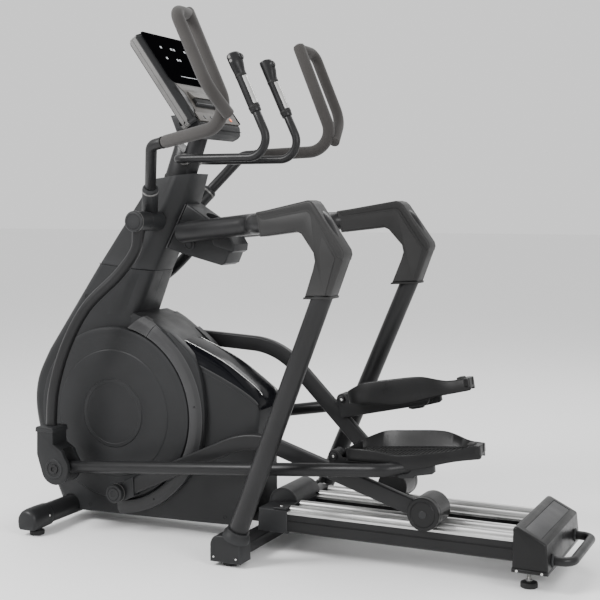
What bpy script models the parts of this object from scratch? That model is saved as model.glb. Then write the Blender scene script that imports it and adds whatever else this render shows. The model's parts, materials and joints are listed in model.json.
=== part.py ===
"""Elliptical trainer: frame, body covers, crank, and one arm linkage on each side.

Metres. +X points to the rear, where the user steps on, +Z is up, and the floor is Z = 0.
The user faces -X, so the left side is at -Y.
"""

from math import acos, asin, atan2, ceil, cos, degrees, hypot, pi, radians, sin

import bmesh
import bpy
from mathutils import Matrix, Vector

# Driving dimensions of the mechanism, in the XZ plane
CRANK_CENTRE = (-0.622, 0.401)
CRANK_RADIUS = 0.265
CRANK_LEAN = radians(12.0)          # left crank pin, behind straight down
SWING_CENTRE = (-0.452, 1.064)
SWING_LENGTH = 0.885                # swing axle to fork eye
ROLLER_ARM_LENGTH = 1.105           # crank pin to roller axle
ROLLER_HEIGHT = 0.195
PIVOT_ALONG = 0.8137                # pedal pivot, along and above the line crank pin to roller
PIVOT_ABOVE = 0.1611
PEDAL_ARM_LENGTH = 0.9895           # pedal pivot to fork eye
PEDAL_TUBE_DROP = 0.0304            # pedal arm tube's axis below the pedal pivot

# Lateral stack, distances from the middle plane
SHELL_HALF = 0.088
CRANK_ARM_Y = (0.0915, 0.1065)
DISC_FACE = 0.120
ARCH_Y = (0.0885, 0.122)
ROLLER_ARM_Y = (0.145, 0.175)
PIN_Y = (0.1235, 0.205)
SWING_Y = 0.200
PEDAL_TUBE_Y = 0.250
FORK_Y = (0.208, 0.292)
FORK_SLOT_Y = (0.226, 0.274)

# Sections
GAP = 0.0003                        # between pieces that touch
WALL = 0.003
BASE_TUBE_RADIUS = 0.035
HANDRAIL_RADIUS = 0.031
SWING_TUBE_RADIUS = 0.0185
PEDAL_TUBE_RADIUS = 0.021
FOAM_RADIUS = 0.021
PULSE_RADIUS = 0.014
ROLLER_ARM_HEIGHT = 0.052
ROLLER_COVER_RADIUS = 0.051
WHEEL_RADIUS = 0.034
AXLE_RADIUS = 0.015
DISC_RADIUS = 0.299
ARCH_RADII = (0.303, 0.352)

# Base
FRONT_X = -0.825
FRONT_Z = 0.054
MID_X = -0.053
RAIL_X = (0.075, 0.8105)
RAIL_Y = (0.046, 0.180)
BEAM_Z = (0.077, 0.1382)
REAR_HALF = 0.217
PULLEY_RADIUS = 0.170
SHEAVE_RADIUS = 0.025
FLYWHEEL_CENTRE = (-0.270, 0.265)
FLYWHEEL_RADIUS = 0.120

# Colour, roughness and metallic value of each finish
FINISHES = {
    "casing": ((0.035, 0.036, 0.038), 0.55, 0.0),
    "frame": ((0.022, 0.022, 0.023), 0.45, 0.2),
    "arch": ((0.085, 0.086, 0.088), 0.45, 0.0),
    "gloss": ((0.006, 0.006, 0.008), 0.08, 0.0),
    "foam": ((0.120, 0.110, 0.105), 0.90, 0.0),
    "aluminium": ((0.780, 0.780, 0.770), 0.22, 1.0),
    "steel": ((0.550, 0.550, 0.550), 0.30, 1.0),
    "silver": ((0.200, 0.200, 0.210), 0.40, 0.6),
    "rubber": ((0.015, 0.015, 0.015), 0.85, 0.0),
    "glass": ((0.004, 0.004, 0.005), 0.05, 0.0),
}


# ---------------------------------------------------------------- scene and materials

def clear_scene():
    for thing in list(bpy.data.objects):
        bpy.data.objects.remove(thing, do_unlink=True)


def new_collection(name):
    collection = bpy.data.collections.new(name)
    bpy.context.scene.collection.children.link(collection)
    return collection


def material_for(name, finish):
    colour, roughness, metallic = FINISHES[finish]
    material = bpy.data.materials.new(name + "_" + finish)
    material.use_nodes = True
    shader = material.node_tree.nodes["Principled BSDF"]
    shader.inputs["Base Color"].default_value = (*colour, 1.0)
    shader.inputs["Roughness"].default_value = roughness
    shader.inputs["Metallic"].default_value = metallic
    return material


clear_scene()
PARTS = new_collection("elliptical_trainer")
GUIDES = new_collection("cutters_and_joined_shapes")


def add_mesh(name, mesh, finish, parent=None):
    """A mesh object. With no finish it is a guide: a cutter, or a shape joined to a part."""
    thing = bpy.data.objects.new(name, mesh)
    if finish:
        PARTS.objects.link(thing)
        mesh.materials.append(material_for(name, finish))
    else:
        GUIDES.objects.link(thing)
        thing.hide_render = True
        thing.display_type = "WIRE"
    thing.parent = parent
    return thing


def add_empty(name, location, turn, parent=None):
    empty = bpy.data.objects.new(name, None)
    PARTS.objects.link(empty)
    empty.location = location
    empty.rotation_euler = (0.0, turn, 0.0)
    empty.parent = parent
    return empty


def boolean(thing, other, operation):
    modifier = thing.modifiers.new(operation.lower() + "_" + other.name, "BOOLEAN")
    modifier.operation = operation
    modifier.solver = "EXACT"
    modifier.object = other


def cut(thing, *others):
    for other in others:
        boolean(thing, other, "DIFFERENCE")


def join(thing, *others):
    for other in others:
        boolean(thing, other, "UNION")


def round_edges(thing, width, segments=2, angle=35.0):
    modifier = thing.modifiers.new("rounded_edges", "BEVEL")
    modifier.width = width
    modifier.segments = segments
    modifier.limit_method = "ANGLE"
    modifier.angle_limit = radians(angle)


# ---------------------------------------------------------------- basic shapes

def finished(mesh, smooth_angle=40.0):
    mesh.shade_smooth()
    mesh.set_sharp_from_angle(angle=radians(smooth_angle))
    return mesh


def rod(name, start, end, radius, finish=None, parent=None, sides=16, stretch=(1.0, 1.0), far_radius=None):
    """A cylinder or cone between two points. stretch scales its section along X and Y."""
    start, end = Vector(start), Vector(end)
    axis = end - start
    turn = axis.to_track_quat("Z", "Y").to_matrix().to_4x4()
    squeeze = Matrix.Diagonal((stretch[0], stretch[1], 1.0, 1.0))
    model = bmesh.new()
    bmesh.ops.create_cone(
        model,
        cap_ends=True,
        segments=sides,
        radius1=radius,
        radius2=radius if far_radius is None else far_radius,
        depth=axis.length,
        matrix=Matrix.Translation((start + end) / 2.0) @ turn @ squeeze,
    )
    mesh = bpy.data.meshes.new(name)
    model.to_mesh(mesh)
    model.free()
    return add_mesh(name, finished(mesh), finish, parent)


def block(name, low, high, finish=None, parent=None):
    low, high = Vector(low), Vector(high)
    size = high - low
    model = bmesh.new()
    bmesh.ops.create_cube(model, matrix=Matrix.Translation((low + high) / 2.0) @ Matrix.Diagonal((*size, 1.0)))
    mesh = bpy.data.meshes.new(name)
    model.to_mesh(mesh)
    model.free()
    return add_mesh(name, finished(mesh), finish, parent)


def curve_mesh(name, curve):
    """The welded mesh of a curve, in the curve's own coordinates."""
    holder = bpy.data.objects.new(name + "_curve", curve)
    GUIDES.objects.link(holder)
    bpy.context.view_layer.update()
    evaluated = holder.evaluated_get(bpy.context.evaluated_depsgraph_get())
    mesh = bpy.data.meshes.new_from_object(evaluated)
    bpy.data.objects.remove(holder, do_unlink=True)
    model = bmesh.new()
    model.from_mesh(mesh)
    bmesh.ops.remove_doubles(model, verts=model.verts, dist=0.00001)
    bmesh.ops.recalc_face_normals(model, faces=model.faces)
    model.to_mesh(mesh)
    model.free()
    mesh.name = name
    return mesh


def plate_mesh(name, outlines, half):
    """A flat outline, with any further outlines as holes, extruded by half to each side of XY."""
    curve = bpy.data.curves.new(name, "CURVE")
    curve.dimensions = "2D"
    curve.fill_mode = "BOTH"
    curve.extrude = half
    for outline in outlines:
        spline = curve.splines.new("POLY")
        spline.points.add(len(outline) - 1)
        for point, (across, up) in zip(spline.points, outline):
            point.co = (across, up, 0.0, 1.0)
        spline.use_cyclic_u = True
    return curve_mesh(name, curve)


def plate(name, outlines, y_range, finish=None, parent=None):
    """Outlines in XZ, extruded between two Y values."""
    low, high = sorted(y_range)
    mesh = plate_mesh(name, outlines, (high - low) / 2.0)
    stand = Matrix.Translation((0.0, (low + high) / 2.0, 0.0)) @ Matrix.Rotation(pi / 2.0, 4, "X")
    mesh.transform(stand)
    return add_mesh(name, finished(mesh), finish, parent)


def slab(name, outline, z_range, finish=None, parent=None):
    """An outline in XY, extruded between two Z values."""
    low, high = z_range
    mesh = plate_mesh(name, [outline], (high - low) / 2.0)
    mesh.transform(Matrix.Translation((0.0, 0.0, (low + high) / 2.0)))
    return add_mesh(name, finished(mesh), finish, parent)


def beam(name, section, x_range, finish=None, parent=None):
    """A section in YZ, extruded between two X values."""
    low, high = x_range
    mesh = plate_mesh(name, [section], (high - low) / 2.0)
    turn = Matrix(((0, 0, 1, 0), (1, 0, 0, 0), (0, 1, 0, 0), (0, 0, 0, 1)))
    mesh.transform(Matrix.Translation(((low + high) / 2.0, 0.0, 0.0)) @ turn)
    return add_mesh(name, finished(mesh), finish, parent)


def tube(name, points, radius, finish=None, parent=None, resolution=2):
    curve = bpy.data.curves.new(name, "CURVE")
    curve.dimensions = "3D"
    curve.bevel_depth = radius
    curve.bevel_resolution = resolution
    curve.use_fill_caps = True
    spline = curve.splines.new("POLY")
    spline.points.add(len(points) - 1)
    for point, place in zip(spline.points, points):
        point.co = (*place, 1.0)
    return add_mesh(name, finished(curve_mesh(name, curve), 50.0), finish, parent)


def turned(name, profile, centre, side, finish=None, parent=None, steps=28):
    """A profile of (radius, distance from the middle plane), turned about an axis along Y.

    The profile runs from its far end inwards, so that the faces point out.
    """
    mesh = bpy.data.meshes.new(name)
    edges = [(i, (i + 1) % len(profile)) for i in range(len(profile))]
    if profile[0][0] == 0.0:
        edges.pop()
    mesh.from_pydata([(r, 0.0, h) for r, h in profile], edges, [])
    thing = add_mesh(name, mesh, finish, parent)
    thing.location = (centre[0], 0.0, centre[1])
    thing.rotation_euler = (-side * pi / 2.0, 0.0, 0.0)
    screw = thing.modifiers.new("turned", "SCREW")
    screw.steps = steps
    screw.render_steps = steps
    screw.use_merge_vertices = True
    screw.merge_threshold = 0.00001
    screw.use_smooth_shade = False
    return thing


def open_shell(name, outline, side, finish, wall=WALL):
    """Half of the body: a side wall at SHELL_HALF and a rim towards the middle plane, open there."""
    closed = plate(name + "_form", [outline], (side * GAP, side * SHELL_HALF))
    mesh = closed.data
    bpy.data.objects.remove(closed, do_unlink=True)
    model = bmesh.new()
    model.from_mesh(mesh)
    inner = [face for face in model.faces if abs(face.calc_center_median().y) < 2.0 * GAP]
    bmesh.ops.delete(model, geom=inner, context="FACES")
    model.to_mesh(mesh)
    model.free()
    thing = add_mesh(name, mesh, finish)
    thicken(thing, wall)
    return thing


def thicken(thing, wall, offset=-1.0):
    solid = thing.modifiers.new("wall", "SOLIDIFY")
    solid.thickness = wall
    solid.offset = offset
    solid.use_even_offset = True


# ---------------------------------------------------------------- outlines and paths

def arc(centre, radius, start, end, steps):
    """Points on an arc, angles in degrees from +X towards +Z."""
    turn = [radians(start + (end - start) * i / steps) for i in range(steps + 1)]
    return [(centre[0] + radius * cos(a), centre[1] + radius * sin(a)) for a in turn]


def smooth(points, steps=4, closed=False):
    """Points on a Catmull-Rom curve through the given 2D or 3D points."""
    count = len(points)
    places = [Vector(p) for p in points]
    result = []
    for i in range(count if closed else count - 1):
        if closed:
            a, b, c, d = (places[(i + k) % count] for k in (-1, 0, 1, 2))
        else:
            a, b, c, d = (places[min(max(i + k, 0), count - 1)] for k in (-1, 0, 1, 2))
        for j in range(steps):
            t = j / steps
            place = b * 2.0 + (c - a) * t
            place += (a * 2.0 - b * 5.0 + c * 4.0 - d) * t ** 2
            place += (b * 3.0 - a - c * 3.0 + d) * t ** 3
            result.append(tuple(place / 2.0))
    if not closed:
        result.append(tuple(places[-1]))
    return result


def bent(points, step=radians(18.0)):
    """A path of straight runs. Each point is (x, y, z, bend radius), and the ends have radius 0."""
    result = [tuple(points[0][:3])]
    for before, here, after in zip(points, points[1:], points[2:]):
        corner = Vector(here[:3])
        back = (Vector(before[:3]) - corner).normalized()
        ahead = (Vector(after[:3]) - corner).normalized()
        turn = pi - back.angle(ahead)
        reach = here[3] * abs(sin(turn / 2.0) / cos(turn / 2.0))
        middle = corner + (back + ahead).normalized() * (here[3] / cos(turn / 2.0))
        start = corner + back * reach - middle
        end = corner + ahead * reach - middle
        count = max(1, ceil(turn / step))
        for i in range(count + 1):
            t = i / count
            spoke = start * sin((1.0 - t) * turn) + end * sin(t * turn)
            result.append(tuple(middle + spoke / sin(turn)))
    result.append(tuple(points[-1][:3]))
    return result


def ribbon(path, half):
    """The outline of a strip of constant width along a path in the XZ plane."""
    left, right = [], []
    for i, place in enumerate(path):
        before = path[max(i - 1, 0)]
        after = path[min(i + 1, len(path) - 1)]
        along = Vector((after[0] - before[0], after[1] - before[1])).normalized()
        left.append((place[0] - along.y * half, place[1] + along.x * half))
        right.append((place[0] + along.y * half, place[1] - along.x * half))
    return left + right[::-1]


def sided(points, side):
    return [(p[0], p[1] * side, *p[2:]) for p in points]


def pair(side, values):
    return (side * values[0], side * values[1])


def polar(centre, radius, angle):
    return (centre[0] + radius * cos(angle), centre[1] + radius * sin(angle))


SIDES = (("left", -1.0), ("right", 1.0))

# Body outline, from the bottom front corner clockwise as seen from the left
BODY_FRONT = smooth(
    [(-0.866, 0.045), (-0.900, 0.120), (-0.952, 0.250), (-0.985, 0.390), (-0.974, 0.500), (-0.921, 0.606)], 3)
MAST_SEAM_FRONT = (-0.700, 0.915)
MAST_SEAM_REAR = (-0.4827, 0.893)
BODY_TOP = [(-0.545, 0.752), (-0.490, 0.748), (-0.400, 0.715), (-0.105, 0.505), (-0.090, 0.470)]
BODY_LOW = [(-0.090, 0.110), (-0.140, 0.052), (-0.300, 0.047), (-0.855, 0.036)]
BODY_OUTLINE = BODY_FRONT + [MAST_SEAM_FRONT, MAST_SEAM_REAR] + BODY_TOP + BODY_LOW


# ---------------------------------------------------------------- base

def build_foot(name, x, y, top, pad_radius=0.025):
    stem = rod(name + "_stem", (x, y, 0.008), (x, y, top - GAP), 0.006, sides=12)
    foot = rod(name, (x, y, 0.0), (x, y, 0.012), pad_radius, "rubber", sides=20)
    join(foot, stem)


def build_front_stabilizer():
    bar = rod("front_stabilizer", (FRONT_X, -0.280, FRONT_Z), (FRONT_X, 0.280, FRONT_Z), BASE_TUBE_RADIUS, "frame")
    outline = arc((FRONT_X, FRONT_Z), 0.038, 10.0, 190.0, 8)
    outline += [(FRONT_X - 0.034, 0.024), (FRONT_X + 0.034, 0.024)]
    foot_x = FRONT_X + 0.013
    for label, side in SIDES:
        cap = plate("front_end_cap_" + label, [outline], pair(side, (0.255, 0.345)))
        round_edges(cap, 0.004)
        join(bar, cap)
        build_foot("front_foot_" + label, foot_x, side * 0.300, 0.024)


def build_mid_stabilizer():
    tube_half = 0.300
    bar = block("mid_stabilizer", (MID_X - 0.035, -tube_half, 0.020), (MID_X + 0.035, tube_half, 0.0575), "frame")
    boot = [(-0.106, 0.014), (-0.104, 0.078), (-0.080, 0.098), (-0.010, 0.098), (0.000, 0.085), (0.000, 0.014)]
    for label, side in SIDES:
        cap = plate("mid_end_cap_" + label, [boot], pair(side, (0.285, 0.362)))
        round_edges(cap, 0.006)
        pad = rod("mid_pad_" + label, (MID_X, side * 0.322, 0.0), (MID_X, side * 0.322, 0.020), 0.024)
        join(bar, cap, pad)


def build_frame():
    spine_z = (0.058, 0.108)
    block("spine_frame", (FRONT_X + BASE_TUBE_RADIUS + GAP, -0.025, spine_z[0]), (0.030, 0.025, spine_z[1]), "frame")
    path = [(-0.735, 0.0, 0.090), (-0.880, 0.0, 0.290), (-0.905, 0.0, 0.470)]
    path += [(-0.830, 0.0, 0.650), (-0.690, 0.0, 0.840), (-0.540, 0.0, 1.050), (-0.500, 0.0, 1.108)]
    mast = tube("mast_frame", smooth(path, 3), 0.024, "frame")
    x, z = SWING_CENTRE
    sleeve = rod("axle_sleeve", (x, -0.080, z), (x, 0.080, z), 0.020)
    lug = block("axle_lug", (x - 0.080, -0.012, z - 0.012), (x, 0.012, z + 0.012))
    bore = rod("axle_bore", (x, -0.090, z), (x, 0.090, z), 0.0125)
    join(mast, lug, sleeve)
    cut(mast, bore, block("spine_clearance", (-0.800, -0.030, 0.050), (-0.650, 0.030, spine_z[1] + GAP)))
    rod("swing_axle", (x, -0.236, z), (x, 0.236, z), 0.0120, "steel")


def build_bearing_frames():
    """Two upright U-brackets on the spine: one holds the crank axle, one the flywheel's shaft."""
    spine_top = 0.108 + GAP
    for name, centre, top, bore, half in (
        ("crank_bracket", CRANK_CENTRE, 0.050, AXLE_RADIUS + 0.0005, 0.062),
        ("flywheel_bracket", FLYWHEEL_CENTRE, 0.035, 0.0085, 0.062),
    ):
        x, z = centre
        foot = block(name, (x - 0.040, -half, spine_top), (x + 0.040, half, spine_top + 0.012), "frame")
        outline = [(x + 0.038, spine_top + 0.004), (x + 0.030, z)] + arc(centre, top, 20.0, 160.0, 6)
        outline += [(x - 0.030, z), (x - 0.038, spine_top + 0.004)]
        for label, side in SIDES:
            cheek = plate(name + "_cheek_" + label, [outline], pair(side, (half - 0.010, half - 0.001)))
            join(foot, cheek)
        cut(foot, rod(name + "_bore", (x, -0.090, z), (x, 0.090, z), bore))


def track_section(side):
    """Two rounded ridges on a low plate, which overhangs its beam by a millimetre."""
    low = BEAM_Z[1] + GAP
    ridge = 0.0125
    points = [(RAIL_Y[1] + 0.001, low), (RAIL_Y[1] + 0.001, low + 0.007)]
    for centre in (0.150, 0.076):
        points += arc((centre, low + 0.0095), ridge, 0.0, 180.0, 6)
    points += [(RAIL_Y[0] - 0.001, low + 0.007), (RAIL_Y[0] - 0.001, low)]
    return [(y * side, z) for y, z in points]


def build_rails():
    for label, side in SIDES:
        y0, y1 = sorted(pair(side, RAIL_Y))
        block("rail_beam_" + label, (RAIL_X[0], y0, BEAM_Z[0]), (RAIL_X[1], y1, BEAM_Z[1]), "frame")
        beam("rail_track_" + label, track_section(side), RAIL_X, "aluminium")
    front = block("rail_front_block", (-0.030, -0.182, 0.075), (RAIL_X[0] - GAP, 0.182, 0.1500), "frame")
    cut(front, block("spine_notch", (-0.040, -0.0255, 0.050), (0.0305, 0.0255, 0.1085)))
    arched = arc((0.020, 0.1490), 0.050, 180.0, 0.0, 10)
    hood = plate("rail_front_hood", [arched], (-0.090, 0.090))
    round_edges(hood, 0.004)
    join(front, hood)


def build_rear():
    outline = [(0.811, 0.059), (0.811, 0.186), (0.825, 0.191), (0.905, 0.150), (0.918, 0.075), (0.910, 0.059)]
    cover = plate("rear_cover", [outline], (-REAR_HALF, REAR_HALF), "casing")
    round_edges(cover, 0.003)
    start = 0.9190
    path = [(start, -0.150, 0.088, 0.0), (0.972, -0.150, 0.088, 0.035), (0.972, 0.150, 0.088, 0.035)]
    path.append((start, 0.150, 0.088, 0.0))
    tube("rear_lift_handle", bent(path), 0.014, "frame")
    for label, side in SIDES:
        build_foot("rear_foot_" + label, 0.847, side * 0.149, 0.059, 0.026)


# ---------------------------------------------------------------- body covers

def build_shells():
    x, z = CRANK_CENTRE
    for label, side in SIDES:
        shell = open_shell(label + "_shell", BODY_OUTLINE, side, "casing")
        far = side * 0.120
        near = side * -0.010
        cut(shell,
            rod("crank_hole_" + label, (x, near, z), (x, far, z), 0.030),
            rod("stabilizer_hole_" + label, (FRONT_X, near, FRONT_Z), (FRONT_X, far, FRONT_Z), 0.0365),
            block("spine_hole_" + label, (-0.200, -0.0265, 0.0565), (0.000, 0.0265, 0.1095)),
            block("mast_hole_" + label, (-0.680, -0.0265, 0.880), (-0.590, 0.0265, 0.930)))


def build_arches():
    inner, outer = ARCH_RADII
    low, high = -86.0, 72.0
    outline = arc(CRANK_CENTRE, outer, low, high, 22) + arc(CRANK_CENTRE, inner, high + 6.0, low, 22)
    for label, side in SIDES:
        plate("wheel_arch_" + label, [outline], pair(side, ARCH_Y), "arch")


def build_top_cover():
    """A glossy band over the sloping top of the body, with a skirt down each side."""
    top = [(-0.390, 0.712), (-0.105, 0.509), (-0.086, 0.474)]
    low = [(-0.340, 0.622), (-0.100, 0.452), (-0.086, 0.440)]
    lift = 0.0006
    half = SHELL_HALF + 0.0006
    mesh = bpy.data.meshes.new("top_cover")
    model = bmesh.new()
    rows = []
    for (tx, tz), (lx, lz) in zip(top, low):
        row = [(lx, -half, lz), (tx, -half, tz + lift), (tx, half, tz + lift), (lx, half, lz)]
        rows.append([model.verts.new(place) for place in row])
    for first, second in zip(rows, rows[1:]):
        for i in range(3):
            model.faces.new((first[i], first[i + 1], second[i + 1], second[i]))
    bmesh.ops.recalc_face_normals(model, faces=model.faces)
    bmesh.ops.reverse_faces(model, faces=[f for f in model.faces if f.normal.z < -0.5])
    model.to_mesh(mesh)
    model.free()
    cover = add_mesh("top_cover", mesh, "gloss")
    thicken(cover, 0.0025, 1.0)


def build_mast_cover():
    front_low, rear_low = MAST_SEAM_FRONT, MAST_SEAM_REAR
    outline = [(front_low[0] + 0.002, front_low[1] + 0.0028), (-0.519, 1.168), (-0.480, 1.205), (-0.330, 1.2235)]
    outline += [(-0.3625, 1.124), (-0.427, 1.000), (rear_low[0] + 0.002, rear_low[1] + 0.0008)]
    half = 0.0865
    closed = plate("mast_form", [outline], (-half, half))
    mesh = closed.data
    bpy.data.objects.remove(closed, do_unlink=True)
    model = bmesh.new()
    model.from_mesh(mesh)
    seam = [f for f in model.faces if f.calc_center_median().z < 0.95 and abs(f.normal.y) < 0.5
            and abs(f.normal.z) > 0.9]
    bmesh.ops.delete(model, geom=seam, context="FACES")
    model.to_mesh(mesh)
    model.free()
    cover = add_mesh("mast_cover", mesh, "casing")
    thicken(cover, WALL)
    x, z = SWING_CENTRE
    cut(cover,
        rod("mast_axle_hole", (x, -0.120, z), (x, 0.120, z), 0.0135),
        rod("mast_post_hole", (-0.455, 0.0, 1.120), (-0.370, 0.0, 1.340), 0.036, stretch=(1.25, 0.85), sides=20))


# ---------------------------------------------------------------- mast, console and handles

def build_console():
    post = rod("console_post", (-0.449, 0.0, 1.135), (-0.373, 0.0, 1.331), 0.034, "frame",
               stretch=(1.25, 0.85), sides=20)
    outline = [(-0.524, 1.668), (-0.505, 1.695), (-0.482, 1.699), (-0.257, 1.387), (-0.254, 1.351)]
    outline += [(-0.282, 1.334), (-0.345, 1.352)]
    half = 0.174
    housing = plate("console_housing", [outline], (-half, half), "silver")
    round_edges(housing, 0.004)
    down = Vector((0.225, 0.0, -0.312)).normalized()
    out = Vector((-down.z, 0.0, down.x))
    corner = Vector((-0.482, 0.0, 1.699))
    recess = slope_block("display_recess", corner + down * 0.006, down * 0.222, out * 0.004, -out * 0.004, 0.1560)
    shelf = slope_block("shelf_recess", corner + down * 0.262, down * 0.066, out * 0.004, -out * 0.018, 0.110)
    cut(housing, recess, shelf)
    slope_block("console_display", corner + down * 0.007, down * 0.220, out * 0.0005, -out * 0.0035, 0.1550, "glass")
    join(housing, slope_block("console_ledge", corner + down * 0.312, down * 0.018, out * 0.012, -out * 0.022, 0.1050))
    return post


def slope_block(name, start, run, top, bottom, half, finish=None):
    """A box whose long side runs down the console's slope, between two depths from its face."""
    model = bmesh.new()
    bmesh.ops.create_cube(model, size=1.0)
    centre = start + run / 2.0 + (top + bottom) / 2.0
    depth = (top - bottom).length
    frame = Matrix((run.normalized(), Vector((0.0, 1.0, 0.0)), run.normalized().cross(Vector((0.0, 1.0, 0.0)))))
    turn = frame.transposed().to_4x4()
    scale = Matrix.Diagonal((run.length, 2.0 * half, depth, 1.0))
    bmesh.ops.transform(model, matrix=Matrix.Translation(centre) @ turn @ scale, verts=model.verts)
    mesh = bpy.data.meshes.new(name)
    model.to_mesh(mesh)
    model.free()
    return add_mesh(name, finished(mesh), finish)


def build_pulse_bar():
    """A U-shaped bar through the post. Its ends turn up into the two contact grips."""
    y, z, front = 0.115, 1.270, -0.372
    low = (-0.066, 1.417)
    path = [(low[0], -y, low[1], 0.0), (0.0027, -y, z, 0.060), (front, -y, z, 0.040)]
    path += [(front, y, z, 0.040), (0.0027, y, z, 0.060), (low[0], y, low[1], 0.0)]
    tube("pulse_bar", bent(path), PULSE_RADIUS, "frame")
    hole = rod("pulse_hole", (front, -0.060, z), (front, 0.060, z), PULSE_RADIUS + 0.0006, sides=20)
    cut(bpy.data.objects["console_post"], hole)
    lean = Vector((-0.152 - low[0], 0.0, 1.601 - low[1]))
    up = lean.normalized()
    back = Vector((up.z, 0.0, -up.x))
    for label, side in SIDES:
        start = Vector((low[0], side * y, low[1])) + up * GAP
        end = start + lean
        grip = rod("pulse_grip_" + label, start, start + up * 0.140, 0.0182, "silver")
        neck = start + up * 0.132
        pod = rod("pod_" + label, neck, end, 0.0195, far_radius=0.023)
        join(grip, pod)
        seat = neck + up * 0.048
        cut(grip, rod("button_seat_" + label, seat + back * 0.012, seat + back * 0.040, 0.0090, sides=16))
        rod("grip_button_" + label, seat + back * 0.0145, seat + back * 0.0245, 0.0085, "rubber", sides=16)


def build_bottle_holder():
    outline = [(-0.3608, 1.1235), (-0.4252, 0.9997), (-0.4392, 0.9720), (-0.250, 0.928), (-0.190, 0.915)]
    outline += [(-0.165, 0.960), (-0.150, 1.000), (-0.200, 1.036), (-0.274, 1.070)]
    holder = plate("bottle_holder", [outline], (-0.055, 0.055), "casing")
    round_edges(holder, 0.006)
    down = Vector((-0.36, 0.0, -0.94)).normalized()
    mouth = Vector((-0.245, 0.0, 1.145))
    cut(holder, rod("bottle_cup", mouth, mouth + down * 0.185, 0.039, sides=20))


def handrail_path(side):
    points = [(-0.365, 0.0870, 1.025, 0.0), (-0.050, 0.145, 1.058, 0.100), (0.028, 0.300, 1.060, 0.100)]
    points += [(0.270, 0.370, 1.088, 0.060), (0.330, 0.380, 0.970, 0.060), (-0.034, 0.330, 0.080, 0.0)]
    return bent(sided(points, side))


def build_handrails():
    outline = [(0.044, 1.097), (0.090, 1.106), (0.150, 1.125), (0.245, 1.132), (0.270, 1.120), (0.362, 0.990)]
    outline += [(0.364, 0.965), (0.322, 0.850), (0.228, 0.846), (0.264, 0.950), (0.258, 0.985), (0.215, 1.038)]
    outline += [(0.120, 1.030), (0.050, 1.022)]
    for label, side in SIDES:
        path = handrail_path(side)
        rail = tube("handrail_" + label, path, HANDRAIL_RADIUS, "frame", resolution=3)
        foot_y = side * 0.330
        cut(rail, block("boot_clearance_" + label, (-0.100, foot_y - 0.06, 0.040), (0.060, foot_y + 0.06, 0.0984)))
        cover = plate("armrest_" + label, [outline], (-0.039, 0.039), "rubber")
        for vertex in cover.data.vertices:
            ahead = min(vertex.co.x - 0.285, 0.0)
            vertex.co.y += side * (0.376 + ahead * 0.289)
        round_edges(cover, 0.005, 1, 50.0)
        cut(cover, tube("armrest_tunnel_" + label, path, HANDRAIL_RADIUS + 0.0006, resolution=3))


# ---------------------------------------------------------------- crank and drive

def build_crank():
    x, z = CRANK_CENTRE
    crank = add_empty("crank_pivot", (x, 0.0, z), 0.0)
    reach = CRANK_ARM_Y[1]
    rod("crank_axle", (0.0, -reach, 0.0), (0.0, reach, 0.0), AXLE_RADIUS, "steel", crank, sides=20)
    lean = (sin(CRANK_LEAN), -cos(CRANK_LEAN))
    for label, side in SIDES:
        pin = (-side * lean[0] * CRANK_RADIUS, -side * lean[1] * CRANK_RADIUS)
        facing = degrees(atan2(pin[1], pin[0]))
        outline = arc((0.0, 0.0), 0.034, facing + 90.0, facing + 270.0, 8)
        outline += arc(pin, 0.026, facing - 90.0, facing + 90.0, 8)
        arm = plate("crank_arm_" + label, [outline], pair(side, CRANK_ARM_Y), "steel", crank)
        cut(arm, rod("crank_bore_" + label, (0.0, side * 0.08, 0.0), (0.0, side * 0.12, 0.0), AXLE_RADIUS + GAP,
                     parent=crank))
        face, back = DISC_FACE, 0.0915
        profile = [(0.0, face), (DISC_RADIUS - 0.005, face), (DISC_RADIUS, face - 0.005), (DISC_RADIUS, back)]
        profile += [(DISC_RADIUS - 0.003, back), (DISC_RADIUS - 0.003, face - 0.007), (0.040, face - 0.007)]
        profile += [(0.040, reach + GAP), (0.0, reach + GAP)]
        turned("crank_disc_" + label, profile, (0.0, 0.0), side, "casing", crank)
    rim = PULLEY_RADIUS
    profile = [(0.0153, 0.044), (0.030, 0.044), (0.030, 0.036), (rim, 0.036), (rim, 0.016), (0.030, 0.016)]
    profile += [(0.030, 0.008), (0.0153, 0.008)]
    turned("drive_pulley", profile, (0.0, 0.0), 1.0, "silver", crank)


def build_flywheel():
    x, z = FLYWHEEL_CENTRE
    pivot = add_empty("flywheel_pivot", (x, 0.0, z), 0.0)
    profile = [(0.0, 0.080), (0.008, 0.080), (0.008, 0.036), (SHEAVE_RADIUS, 0.036), (SHEAVE_RADIUS, 0.016)]
    profile += [(0.030, 0.010), (FLYWHEEL_RADIUS, 0.010), (FLYWHEEL_RADIUS, -0.028), (0.030, -0.028)]
    profile += [(0.008, -0.034), (0.008, -0.080), (0.0, -0.080)]
    turned("flywheel", profile, (0.0, 0.0), 1.0, "steel", pivot, 28)


def belt_loop(extra):
    """The belt's outline around pulley and sheave, outside their rims by extra."""
    reach = (FLYWHEEL_CENTRE[0] - CRANK_CENTRE[0], FLYWHEEL_CENTRE[1] - CRANK_CENTRE[1])
    facing = degrees(atan2(reach[1], reach[0]))
    tilt = degrees(acos((PULLEY_RADIUS - SHEAVE_RADIUS) / hypot(*reach)))
    loop = arc(CRANK_CENTRE, PULLEY_RADIUS + extra, facing + tilt, facing + 360.0 - tilt, 30)
    return loop + arc(FLYWHEEL_CENTRE, SHEAVE_RADIUS + extra, facing - tilt, facing + tilt, 10)


def build_belt():
    plate("drive_belt", [belt_loop(0.0055), belt_loop(0.0020)], (0.018, 0.034), "rubber")


# ---------------------------------------------------------------- linkage, one on each side

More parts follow.
